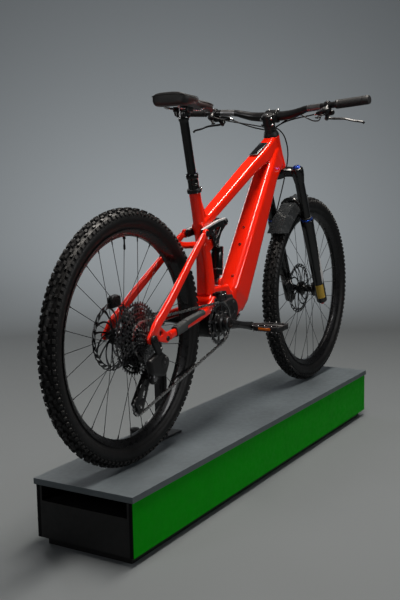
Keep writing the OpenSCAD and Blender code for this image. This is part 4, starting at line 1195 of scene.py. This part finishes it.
def fork():
    s = Shape()
    s.add(lathe([(26, 517), (30, 521), (30.5, 540), (27, 549), (26, 552.6)], 56))
    arch = curve([(14, -70, 524), (12, -52, 531), (4, -24, 536), (0, 0, 536), (4, 24, 536),
                  (12, 52, 531), (14, 70, 524)], 5)
    n = len(arch) - 1
    s.add(bar(arch, [(44 - 2 * sin(pi * i / n), 36 - 8 * abs(2 * i / n - 1), 12)
                     for i in range(n + 1)], (0, 0, 1)))
    for side in (-1, 1):
        s.add(lathe([(18.8, 486), (20.6, 500), (23.2, 517), (23.8, 532), (22.6, 543), (19, 547)],
                    44), matrix=leg(side))
    crown = Shape().add(fuse(s, 1.8, 6), 0)
    crown.add(lathe([(17.9, 552), (18.1, 553), (18.1, 724), (17.5, 725)], 40), 1)
    crown.add(lathe([(18, 548.4), (21, 548.6), (21.5, 550), (18, 550.6)], 32), 1,
              leg(1))
    piece("crown_arch", crown, STEER, [GLOSS, STEEL], "steerer", 35, ("fork_crown",))
    t = Shape()
    for side in (-1, 1):
        t.add(lathe([(17.2, 168), (18, 169), (18, 530)], 48), 0, leg(side))
    piece("fork_stanchion_tubes", t, STEER, GLOSS, "steerer", 35, ("fork_stanchions",))
    d = Shape()
    z0 = 545.4
    d.add(lathe([(14.2, z0), (14.4, z0 + 1), (13.8, z0 + 4.4), (12, z0 + 5), (11.4, z0 + 8.2),
                 (10, z0 + 8.9), (0, z0 + 8.9)], 40), 0)
    for k in range(20):
        r = 13.6 + 0.5 * (k % 2)
        d.add(block((1.6, 2.2, 4.4), (r, 0, z0 + 2.6), 0.5, 1), 0, turned("Z", 18 * k))
    d.add(bolt(3, 1.0, (0, 0, z0 + 8.8), (0, 0, 1)), 1)
    piece("damper_dial", d, STEER @ leg(-1), [BLUE, STEEL], "dial", 35,
          ("fork_dial",))


def fork_lower_legs():
    s = Shape()
    for side in (-1, 1):
        s.add(lathe([(18, -38), (21, -34), (21.6, 60), (22.4, 180), (24, 288), (24.8, 300),
                     (25, 326), (23.6, 331)], 48), matrix=leg(side))
        s.add(plate([(14, 0, 18), (44, 0, 14.5), (14, 34, 12)], 16, 4, side * 63.5))
        s.add(tube(curve([(24, side * 66, 288), (34, side * 54, 336), (42, side * 38, 375),
                          (46, side * 26, 392)], 5), spread([13, 9, 8, 8], 5), 20))
    s.add(bar(curve([(44, -34, 384), (47, -18, 396), (48, 0, 399), (47, 18, 396),
                     (44, 34, 384)], 4), (15, 18, 6)))
    s.add(bar([(37, -58, 310), (42, 0, 360), (37, 58, 310)], (5, 10, 2)))
    s.add(block((30, 14, 30), (-24, 58, 62), 4, 2))
    legs = Shape().add(fuse(s, 1.8, 6), 0)
    for side in (-1, 1):
        m = leg(side)
        legs.add(lathe([(18.4, 330), (23.4, 330.4), (23.7, 331.4), (23.6, 334), (22, 335.5),
                        (18.4, 336)], 48), 1, m)
        legs.add(lathe([(18.4, 336), (21, 336), (20.4, 341), (18.4, 342)], 48), 2, m)
    legs.add(lathe([(7.5, -38), (8, -39), (8, -46), (6.5, -48), (0, -48)], 28), 3,
             leg(-1))
    legs.add(lathe([(7.5, -38), (8, -39), (8, -43), (0, -44)], 28), 2,
             leg(1))

    def strip(degrees, low, high, width, mat):
        """A stripe up the right leg, on the side that faces this way."""
        c, d = polar(1, radians(degrees))
        line = [(14 + (21.7 + 0.8 * z / 120) * c, -70 + (21.7 + 0.8 * z / 120) * d, z)
                for z in np.linspace(low, high, 4)]
        legs.add(bar(line, (width, 0.9, 0.2), (c, d, 0)), mat)
    for k in range(12):
        strip(168 + 7.2 * k, -14, 46, 2.8, 4)
    for k in range(6):
        strip(250 + 8 * k, 50 + 6 * k, 110 + 26 * k, 3.1, 5)
    piece("fork_lower_casting", legs, STEER, [GLOSS, BLUE, PLASTIC, RED_KNOB, GOLD, WHITE],
          "fork_lower", 35, ("fork_lowers",))
    a = Shape()
    m = move((44, 0, 0))
    a.add(axle_lathe([(5.2, -78), (6, -77), (6, 72), (5.4, 73)], 28), 0, m)
    a.add(axle_lathe([(7, 71.8), (9, 72.6), (9, 76.4), (7.6, 77.2), (3.4, 77.2), (3.2, 75)],
                     28), 0, m)
    piece("front_thru_axle", a, STEER, HUB, "fork_lower", 35, ("front_axle",))
    caliper("front_brake_caliper", STEER @ move((-48, FRONT_ROTOR_Y, 62))
            @ turned("Y", 78), "fork_lower", "front_caliper")


MUDGUARD_R = 391


def mudguard():
    """A folded plastic sheet over the tyre, fixed to the fork's arch."""
    s = Shape()
    rows, ring = 22, []
    across = (-1, -0.58, -0.56, 0, 0.56, 0.58, 1)
    for face in (0, 1):
        grid = []
        for i in range(rows + 1):
            u = i / rows
            a = radians(99 + 43 * u)
            half = 32 + 14 * min(u / 0.4, 1)
            line = []
            for v in across:
                flap = max(0, abs(v) - 0.57) / 0.43
                r = MUDGUARD_R + 6 * max(0, u - 0.3) - flap * (6 + 26 * min(u / 0.5, 1))
                r -= 2 if face else 0
                b = a - radians(8) * flap * max(0, u - 0.5)
                line.append((r * cos(b), v * half * (1 - 0.06 * flap * u), r * sin(b)))
            grid.append(line)
        ring.append(grid)
    n, w = rows + 1, len(across)
    verts = [p for grid in ring for line in grid for p in line]
    faces = []
    for i in range(rows):
        for j in range(w - 1):
            a = i * w + j
            faces.append((a, a + 1, a + w + 1, a + w))
            b = a + n * w
            faces.append((b, b + w, b + w + 1, b + 1))
    for i in range(rows):
        for a, flip in ((i * w, 0), (i * w + w - 1, 1)):
            quad = (a, a + w, a + w + n * w, a + n * w)
            faces.append(quad if not flip else tuple(reversed(quad)))
    for j in range(w - 1):
        for a, flip in ((j, 1), (rows * w + j, 0)):
            quad = (a, a + 1, a + 1 + n * w, a + n * w)
            faces.append(quad if not flip else tuple(reversed(quad)))
    s.add((verts, faces), 0)
    for y in (-16, 16):
        for deg in (102, 107):
            a = radians(deg)
            x, z = polar(MUDGUARD_R, a)
            s.add(bolt(4, 2, (x, y * (1 if deg < 105 else 1.3), z), (cos(a), 0, sin(a))),
                  1)
    for deg in (112, 118, 124):
        a = radians(deg)
        x, z = polar(MUDGUARD_R + 0.6, a)
        m = on((x, 0, z)) @ Matrix.Rotation(pi / 2 - a, 4, "Y")
        s.add(block((13, 26, 1.6), bevel=0.6), 0, m)
    piece("mudguard_sheet", s, WHEEL_F, [FENDER, SATIN], "fork_lower", 18, ("mudguard",))


# ---------------------------------------------------------------- cockpit

BAR_BEND = np.array([34.0, 150, 766])
BAR_END = np.array([8.0, 390, 793])
BAR_DIR = (BAR_END - BAR_BEND) / np.linalg.norm(BAR_END - BAR_BEND)
LEVER_DIR = np.array([0.26, 0, -0.966])
LEVER_AXIS = np.array([0.966, 0, 0.26])
GRIP_LENGTH = 128
CLAMP_AT = 163


def on_bar(s):
    return BAR_END - BAR_DIR * s


def stem():
    s = Shape()
    s.add(lathe([(18.2, 683.4), (29, 683.4), (29.2, 686), (26.4, 694), (23.6, 700.8), (18.2, 701)],
                48), 0)
    for z in (701.6, 711.6):
        s.add(lathe([(18.2, z - 0.3), (20.6, z - 0.3), (21, z), (21, z + 9), (20.6, z + 9.3),
                     (18.2, z + 9.3)], 48), 1)
    body = Shape()
    body.add(lathe([(20, 720.5), (22, 722), (22, 762), (20, 763.6)], 48))
    body.add(bar([(0, 0, 742), (14, 0, 742), (40, 0, 742)], [(40, 38, 12), (38, 33, 10),
                                                             (46, 40, 12)]))
    body.add(axle_lathe([(22, -24), (24, -22), (24, 22), (22, 24)], 48),
             matrix=move((40, 0, 742)))
    s.add(fuse(body, 1.5, 4), 1)
    # Face plate with four bolts, and two pinch bolts behind
    s.add(bar([(64.2, 0, 728), (66, 0, 742), (64.2, 0, 756)], (40, 4, 1.6), (1, 0, 0)), 0)
    for y in (-18, 18):
        for z in (-17, 17):
            s.add(bolt(4, 3, (60, y, 742 + z), (1, 0, 0.2 * z / 17)), 2)
    for z in (730, 754):
        s.add(bolt(4, 3, (-15, 21, z), (0, 1, 0)), 2)
        s.add(bolt(4, 3, (-15, -21, z), (0, -1, 0)), 2)
    s.add(lathe([(0, 763), (19, 763), (19.4, 764.6), (17, 767), (6, 767.4), (5.4, 765.4),
                 (0, 765.4)], 40), 0)
    s.add(bolt(4.6, 1.8, (0, 0, 765.6), (0, 0, 1)), 2)
    piece("stem_clamp", s, STEER, [PLASTIC, SATIN, STEEL], "steerer", 35, ("stem",))


def handlebar():
    s = Shape()
    half = [BAR_END, (24, 240, 776.2), BAR_BEND, (36.5, 118, 757), (38.5, 82, 747),
            (40, 42, 742.4)]
    points = [(x, -y, z) for x, y, z in half] + [(40, 0, 742)] + half[::-1]
    radii = [11.1, 11.1, 12, 13.8, 16, 17.3]
    radii = radii + [17.4] + radii[::-1]
    s.add(tube(curve(points, 8), spread(radii, 8), 32), 0)
    for side in (-1, 1):
        path = curve([(34, side * 150, 766), (29.2, side * 195, 771), (26, side * 222, 774)], 4)
        s.add(tube(path[:-3], 12.25, 32), 1)
    piece("handlebar_tube", s, STEER, [SATIN, SHOCK_GREY], "steerer", 35, ("handlebar",))
    g = Shape()
    for side in (-1, 1):
        d = BAR_DIR * np.array([1, side, 1])
        start = (BAR_END - BAR_DIR * GRIP_LENGTH) * np.array([1, side, 1])
        m = along(start, d)
        profile = [(11.1, 0), (15.2, 0.2), (15.6, 1), (15.6, 9), (15.2, 9.6)]
        for k in range(17):
            z = 12 + 5.6 * k
            profile += [(14.4, z), (15.9, z + 0.8), (15.9, z + 3.4), (14.4, z + 4.2)]
        profile += [(15.2, 109), (15.8, 112), (15.9, 124), (14, 129), (0, 130)]
        g.add(lathe(profile, 40), 0, m)
        g.add(lathe([(15.5, 1.4), (15.9, 2), (15.9, 8), (15.5, 8.6)], 40), 1, m)
        g.add(bolt(2.6, 1.6, (0, 14.6, 5), (0, 1, 0)), 1, m)
    piece("grip_sleeves", g, STEER, [GRIP, SATIN], "steerer", 35, ("grips",))


LEVER_PIVOT = on_bar(CLAMP_AT + 16) + LEVER_DIR * 48
LEVER_KNEE = on_bar(112) + LEVER_DIR * 64
LEVER_TIP = on_bar(48) + LEVER_DIR * 86
# The thumb lever's housing, beside the bar, and the foot of the lever below it
PADDLE_BOX = on_bar(CLAMP_AT - 4) - LEVER_AXIS * 30
PADDLE_FOOT = PADDLE_BOX - np.array([0, 0, 4.3])
TO_RIGHT = np.array([1, -1, 1])
PORT = on_bar(CLAMP_AT + 52) + LEVER_DIR * 26 + np.array([0, -0.2, 0])


def flipped(made):
    verts, faces = made
    return [(x, -y, z) for x, y, z in verts], [tuple(reversed(f)) for f in faces]


def controls():
    s = Shape()
    body = Shape()
    clamp = along(on_bar(CLAMP_AT + 8), BAR_DIR)
    body.add(lathe([(11.2, 0), (15.6, 0), (16.4, 1), (16.4, 15), (15.6, 16), (11.2, 16)], 40),
             matrix=clamp)
    reservoir = [on_bar(CLAMP_AT + s) + LEVER_DIR * down
                 for s, down in ((54, 26), (44, 26.5), (10, 28), (-10, 31), (-16, 31))]
    body.add(tube(reservoir, [6, 8.6, 10.4, 10, 7], 28))
    body.add(tube([on_bar(CLAMP_AT) + LEVER_DIR * 12, on_bar(CLAMP_AT + 6) + LEVER_DIR * 30],
                  [9, 10], 24))
    for k in (-9, 9):
        body.add(tube([on_bar(CLAMP_AT + 12) + LEVER_DIR * 30 + LEVER_AXIS * k,
                       LEVER_PIVOT + LEVER_AXIS * k + LEVER_DIR * 2], [5, 4.6], 16))
        body.add(tube([LEVER_PIVOT + LEVER_AXIS * (k * share) for share in (0.62, 1.12)],
                      7.6, 28))
    body.add(tube([on_bar(CLAMP_AT - 4) - LEVER_AXIS * 12 + np.array([0, 0, 3]),
                   PADDLE_BOX + np.array([0, 0, 3])], [8, 9], 24))
    body.add(lathe([(9, -4), (12.5, -3), (13.5, 3), (11, 9), (0, 10.5)], 32),
             matrix=move(PADDLE_BOX))
    s.add(fuse(body, 1.2, 4), 0)
    s.add(bolt(3, 3, tuple(on_bar(CLAMP_AT) - LEVER_DIR * 16.4), tuple(-LEVER_DIR)), 1)
    s.add(bolt(4.4, 1.4, tuple(LEVER_PIVOT + LEVER_AXIS * 10), tuple(LEVER_AXIS)), 1)
    s.add(bolt(4.4, 1.4, tuple(LEVER_PIVOT - LEVER_AXIS * 10), tuple(-LEVER_AXIS)), 1)
    s.add(tube([PORT + BAR_DIR * 4, PORT, PORT + np.array([2, -9, -5])], [5.4, 4.6, 3.6], 16), 1)
    s.add_mirror_image()
    # The right side also carries the shifter's larger housing
    shifter = Shape()
    at, d = PADDLE_BOX * TO_RIGHT, BAR_DIR * TO_RIGHT
    shifter.add(tube([at - d * 24 + np.array([2, 0, -1]), at - d * 8, at + d * 6],
                     [9, 14, 11], 28))
    s.add(fuse(shifter, 1.4, 5), 2)
    piece("control_clamps", s, STEER, [SATIN, STEEL, PLASTIC], "steerer", 35, ("control_bodies",))
    blade = Shape()
    path = curve([LEVER_PIVOT - BAR_DIR * 2, LEVER_PIVOT + BAR_DIR * 16 + LEVER_DIR * 7,
                  LEVER_KNEE, (LEVER_KNEE + LEVER_TIP) / 2 + LEVER_DIR * 1.5, LEVER_TIP,
                  LEVER_TIP + BAR_DIR * 7 + LEVER_DIR * 7], 7)
    n = len(path) - 1
    sizes = [(10.4 - 2.6 * i / n, 7.6 - 2.2 * sin(pi * i / n), 2.6) for i in range(n + 1)]
    blade.add(bar(path, sizes, LEVER_DIR), 0)
    blade.add(tube([LEVER_PIVOT - LEVER_AXIS * 5.1, LEVER_PIVOT + LEVER_AXIS * 5.1], 6.6, 24), 0)
    piece("lever_blade_left", blade, STEER, SATIN, "left_brake_lever", 35, ("brake_lever_left",))
    piece("lever_blade_right", flipped((blade.v, blade.f)), STEER, SATIN, "right_brake_lever", 35,
          ("brake_lever_right",))
    p = Shape()
    p.add(lathe([(7.6, -5), (9, -4.4), (9, -0.4), (8.4, 0)], 28), 0,
          move(PADDLE_FOOT))
    tip = PADDLE_FOOT + np.array([-30, -22, -8])
    p.add(bar(curve([PADDLE_FOOT + np.array([-2, -1, -2.6]), PADDLE_FOOT + np.array([-16, -10, -4]),
                     tip, tip + np.array([-6, -3, 1])], 5),
              [(12 - 3 * sin(pi * i / 15) + 3 * i / 15, 4.4, 1.8) for i in range(16)]), 0)
    piece("dropper_paddle", p, STEER, SATIN, "left_thumb_lever", 35, ("dropper_lever",))
    piece("shifter_paddle", flipped((p.v, p.f)), STEER, SATIN, "right_thumb_lever", 35,
          ("shift_paddle",))


def bezier(a, b, c, d):
    a, b, c, d = (np.asarray(p, float) for p in (a, b, c, d))
    return np.array([a * (1 - t) ** 3 + 3 * b * t * (1 - t) ** 2 + 3 * c * t * t * (1 - t)
                     + d * t ** 3 for t in np.linspace(0, 1, 28)])


BRAKE_ROUTE = [(28, 8, 702), (90, 12, 672), (150, 22, 610), (172, 36, 530), (130, 50, 450),
               (72, 62, 380), (42, 77, 325), (30, 93, 260), (18, 98, 200), (-2, 97, 150),
               (-22, 80, 112), (-36, 44, 93), (-38, 40, 84.2)]


HOSE_R, CABLE_R = 2.5, 2.2


def hoses():
    s = Shape()
    right = bezier(PORT, PORT + (22, -50, -20), (56, 60, 730), (25, 12, 706))
    s.add(tube(right * TO_RIGHT, HOSE_R, 14), 0)
    left = bezier(PORT, PORT + (10, -60, -40), (40, 50, 690), (24.5, 10, 696))
    s.add(tube(left, HOSE_R, 14), 0)
    # Shift cable: along the bar, then in a loop under the right control
    loop = curve([(24, -10, 703), (40, -40, 719), (54, -78, 734), (52, -108, 737), (44, -134, 726),
                  (34, -164, 718), (24, -190, 726), tuple((PADDLE_BOX + (2, -20, -2)) * TO_RIGHT)],
                 6)
    s.add(tube(loop, CABLE_R, 14), 0)
    cable = bezier(PADDLE_BOX + (2, -12, 0), PADDLE_BOX + (16, -60, -30), (50, 80, 712),
                   (26, 6, 698))
    s.add(tube(cable, CABLE_R, 14), 0)
    for path in (right * TO_RIGHT, left):
        m = along(path[1], path[2] - path[0])
        s.add(lathe([(2.4, -3), (3.6, -2), (3.6, 6), (2.4, 9)], 16), 1, m)
    piece("control_hoses", s, STEER, [SIDEWALL, SATIN], "steerer", 35, ("hoses",))
    f = tube(curve(BRAKE_ROUTE, 6), HOSE_R, 14)
    front = piece("front_brake_line", f, STEER, SIDEWALL, "steerer", 35, ("front_brake_hose",))
    front.parent = None
    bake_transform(front)


# ---------------------------------------------------------------- saddle

SADDLE = BIKE @ move((-18, 0, 16))


def saddle():
    """A padded saddle: narrow nose, broad tail, a shallow channel, and a thin shell below."""
    top_z, seam_r = 1046, 0.9
    stations = [(-375, 52, 8), (-371, 60, 4), (-360, 67, 1), (-340, 70, 0), (-310, 66, -1),
                (-280, 52, -3), (-255, 37, -5), (-225, 27, -6.5), (-190, 22, -7), (-155, 20, -8),
                (-132, 18, -10), (-123, 12, -14), (-119, 5, -18)]
    rings = []
    for x, w, lift in stations:
        crown = top_z + 12 + lift
        depth = 23 + 13 * min(max(-290 - x, 0) / 60, 1)
        line = []
        for v, dz in ((-0.30, -0.1), (-0.72, -1.6), (-0.94, -6.5), (-1.0, -12.5), (-0.90, -depth),
                      (-0.55, -depth - 1.5), (0, -depth - 2), (0.55, -depth - 1.5),
                      (0.90, -depth), (1.0, -12.5), (0.94, -6.5), (0.72, -1.6), (0.30, -0.1),
                      (0.0, -3.2 if -350 < x < -150 else -0.4)):
            line.append((x, v * w, crown + dz))
        rings.append(line)
    s = Shape().add(skin(rings))
    for i, f in enumerate(s.f):
        mid = sum(s.v[k][2] for k in f) / len(f)
        top = max(s.v[k][2] for k in f)
        s.m[i] = 1 if mid < top_z - 4 and top < top_z + 1 else 0
    pad = piece("saddle_pad", s, SADDLE, [COVER, COVER_SIDE], "saddle_post", 180, ("saddle",),
                2)
    # Piping between the top panel and the side panel
    t = Shape()
    for side in (-1, 1):
        line = [(x, side * w * 0.965, top_z + 12 + lift - 7.4) for x, w, lift in stations[1:-1]]
        t.add(tube(curve(line, 4), seam_r, 8), 0)
    t.add(tube(curve([(-372, -58, 1053.6), (-377.5, -30, 1055.5), (-378.6, 0, 1056),
                      (-377.5, 30, 1055.5), (-372, 58, 1053.6)], 4), seam_r, 8), 0)
    piece("saddle_seam", t, SADDLE, SIDEWALL, "saddle_post", 60, ())
    r = Shape()
    for side in (-1, 1):
        y = side * 21
        rail = curve([(-362, side * 30, 1031), (-352, side * 24, 1020), (-335, y, 1018),
                      (-275, y, 1018), (-232, y, 1018.5), (-200, side * 18, 1025),
                      (-165, side * 9, 1033)], 6)
        r.add(tube(rail, 3.5, 18), 0)
    shell = []
    for x, w, lift in stations[1:-1]:
        z = top_z - 12.5 + lift
        shell.append([(x, v * w * 0.9, z + dz) for v, dz in ((-1, 3), (-0.6, -1.5), (0, -3.5),
                      (0.6, -1.5), (1, 3), (0.9, 6), (0, 4), (-0.9, 6))])
    r.add(skin([ring[::-1] for ring in shell]), 1)
    piece("saddle_rails", r, SADDLE, [STEEL, PLASTIC], "saddle_post", 50, ())


# ---------------------------------------------------------------- stand and plinth


def stand():
    keep("stand_column", POWDER, 1.2)
    column_x, column_y = -380, 59
    s = Shape()
    for dx in (-42, 42):
        at = move((column_x + dx, column_y + 75, 0))
        s.add(lathe([(11, 20), (14.4, 21), (15, 24), (15, 31), (13, 34), (6, 35), (0, 35)], 36),
              0, at)
        for k in range(12):
            s.add(block((2, 3, 10), (14.6, 0, 27), 0.7, 1), 0, at @ turned("Z", 30 * k))
    for z in (72, 246):
        for dx in (-15, 15):
            s.add(bolt(3.6, 1.6, (column_x + dx, column_y - 9, z), (0, -1, 0)), 1)
    # Soft fork under the chainstay
    s.add(bar(curve([(column_x, 44, 373), (column_x, 50, 368.5), (column_x, 59, 367),
                     (column_x, 68, 368.5), (column_x, 76, 373)], 4), (20, 5, 2)), 0)
    piece("stand_fittings", s, BIKE, [PLASTIC, STEEL], "frame", 35, ())


def plinth():
    keep("plinth_slab", SLAB, 1.6)
    keep("plinth_side_panels", GREEN, 0.8)
    keep("plinth_carcass", BOARD, 0.8)


# ---------------------------------------------------------------- stage and camera


def area(name, at, aim, size, power, colour=(1, 1, 1)):
    data = bpy.data.lights.new(name, "AREA")
    data.shape = "RECTANGLE"
    data.size, data.size_y = size
    data.energy = power
    data.color = colour
    light = bpy.data.objects.new(name, data)
    light.location = at
    light.rotation_mode = "QUATERNION"
    light.rotation_quaternion = (Vector(aim) - Vector(at)).to_track_quat("-Z", "Y")
    bpy.context.scene.collection.objects.link(light)


def studio():
    """A pale floor that curves up into a round wall, soft boxes above and at the sides."""
    mat = bpy.data.materials.new("studio_floor")
    mat.use_nodes = True
    shader = mat.node_tree.nodes["Principled BSDF"]
    set_inputs(shader, Base_Color=(0.125, 0.137, 0.145, 1), Roughness=0.7,
               Specular_IOR_Level=0.2)
    mesh = bpy.data.meshes.new("floor")
    flat_r, bend_r = 3.6, 5.4
    profile = [(0, 0), (flat_r, 0)]
    profile += [(flat_r + bend_r * sin(a), bend_r - bend_r * cos(a))
                for a in (k * pi / 48 for k in range(1, 25))]
    verts, faces = lathe(profile + [(9, 7)], 96)
    # The lathe's caps, its only faces with many corners, are left out
    mesh.from_pydata(verts, [], [f[::-1] for f in faces if len(f) < 90])
    mesh.polygons.foreach_set("use_smooth", [True] * len(mesh.polygons))
    mesh.materials.append(mat)
    floor = bpy.data.objects.new("floor", mesh)
    bpy.context.scene.collection.objects.link(floor)
    world = bpy.data.worlds.new("studio")
    bpy.context.scene.world = world
    world.use_nodes = True
    set_inputs(world.node_tree.nodes["Background"], Color=(0.36, 0.37, 0.39, 1), Strength=0.08)
    area("top_softbox", (0.1, -0.4, 3.6), (0, 0, 0.6), (3.0, 0.8), 200, (1, 0.94, 0.86))
    area("side_softbox", (0.2, -3.6, 2.0), (0.2, 0, 0.8), (2.4, 0.5), 34)
    area("rear_strip", (-3.8, 1.2, 2.2), (-0.5, 0, 0.7), (0.4, 2.0), 20)
    area("far_strip", (1.6, 3.4, 2.2), (0.2, 0, 0.8), (0.6, 2.2), 24)
    area("wall_wash", (3.2, 2.2, 3.0), (7.5, 4.8, 1.2), (2.0, 1.0), 260)


# Where the camera stands above the plinth's top in metres, and where it looks, in radians
EYE = (-2.6553, -1.4497, 0.8068)
EYE_YAW, EYE_PITCH, EYE_ROLL = 0.5379, -0.1324, -0.0184
LENS_MM, SENSOR_MM = 52.66, 36


def camera():
    data = bpy.data.cameras.new("camera")
    data.lens = LENS_MM
    data.sensor_width = SENSOR_MM
    cam = bpy.data.objects.new("camera", data)
    f = Vector((cos(EYE_YAW) * cos(EYE_PITCH), sin(EYE_YAW) * cos(EYE_PITCH),
                sin(EYE_PITCH)))
    r = f.cross(Vector((0, 0, 1))).normalized()
    u = r.cross(f)
    right = r * cos(EYE_ROLL) + u * sin(EYE_ROLL)
    up = right.cross(f)
    m = Matrix((right, up, -f)).transposed().to_4x4()
    m.translation = Vector((EYE[0], EYE[1], EYE[2] + DECK))
    cam.matrix_world = m
    bpy.context.scene.collection.objects.link(cam)
    bpy.context.scene.camera = cam


bpy.context.scene.view_settings.view_transform = "Standard"
studio()
camera()
frame_shell()
frame_details()
drive_unit()
seatpost()
chainstays()
seatstays()
caliper("rear_brake_caliper", BIKE @ move((-625, REAR_ROTOR_Y, 471)), "seatstay_arm",
        "rear_caliper", turned("Y", -6) @ Matrix.Scale(0.86, 4))
rocker()
shock()
wheels()
cassette()
chain()
derailleur()
cranks()
pedal("right", PEDAL_R, -1, "right_pedal", "pedal_right")
pedal("left", PEDAL_L, 1, "left_pedal", "pedal_left")
fork()
fork_lower_legs()
mudguard()
stem()
handlebar()
controls()
hoses()
saddle()
stand()
plinth()
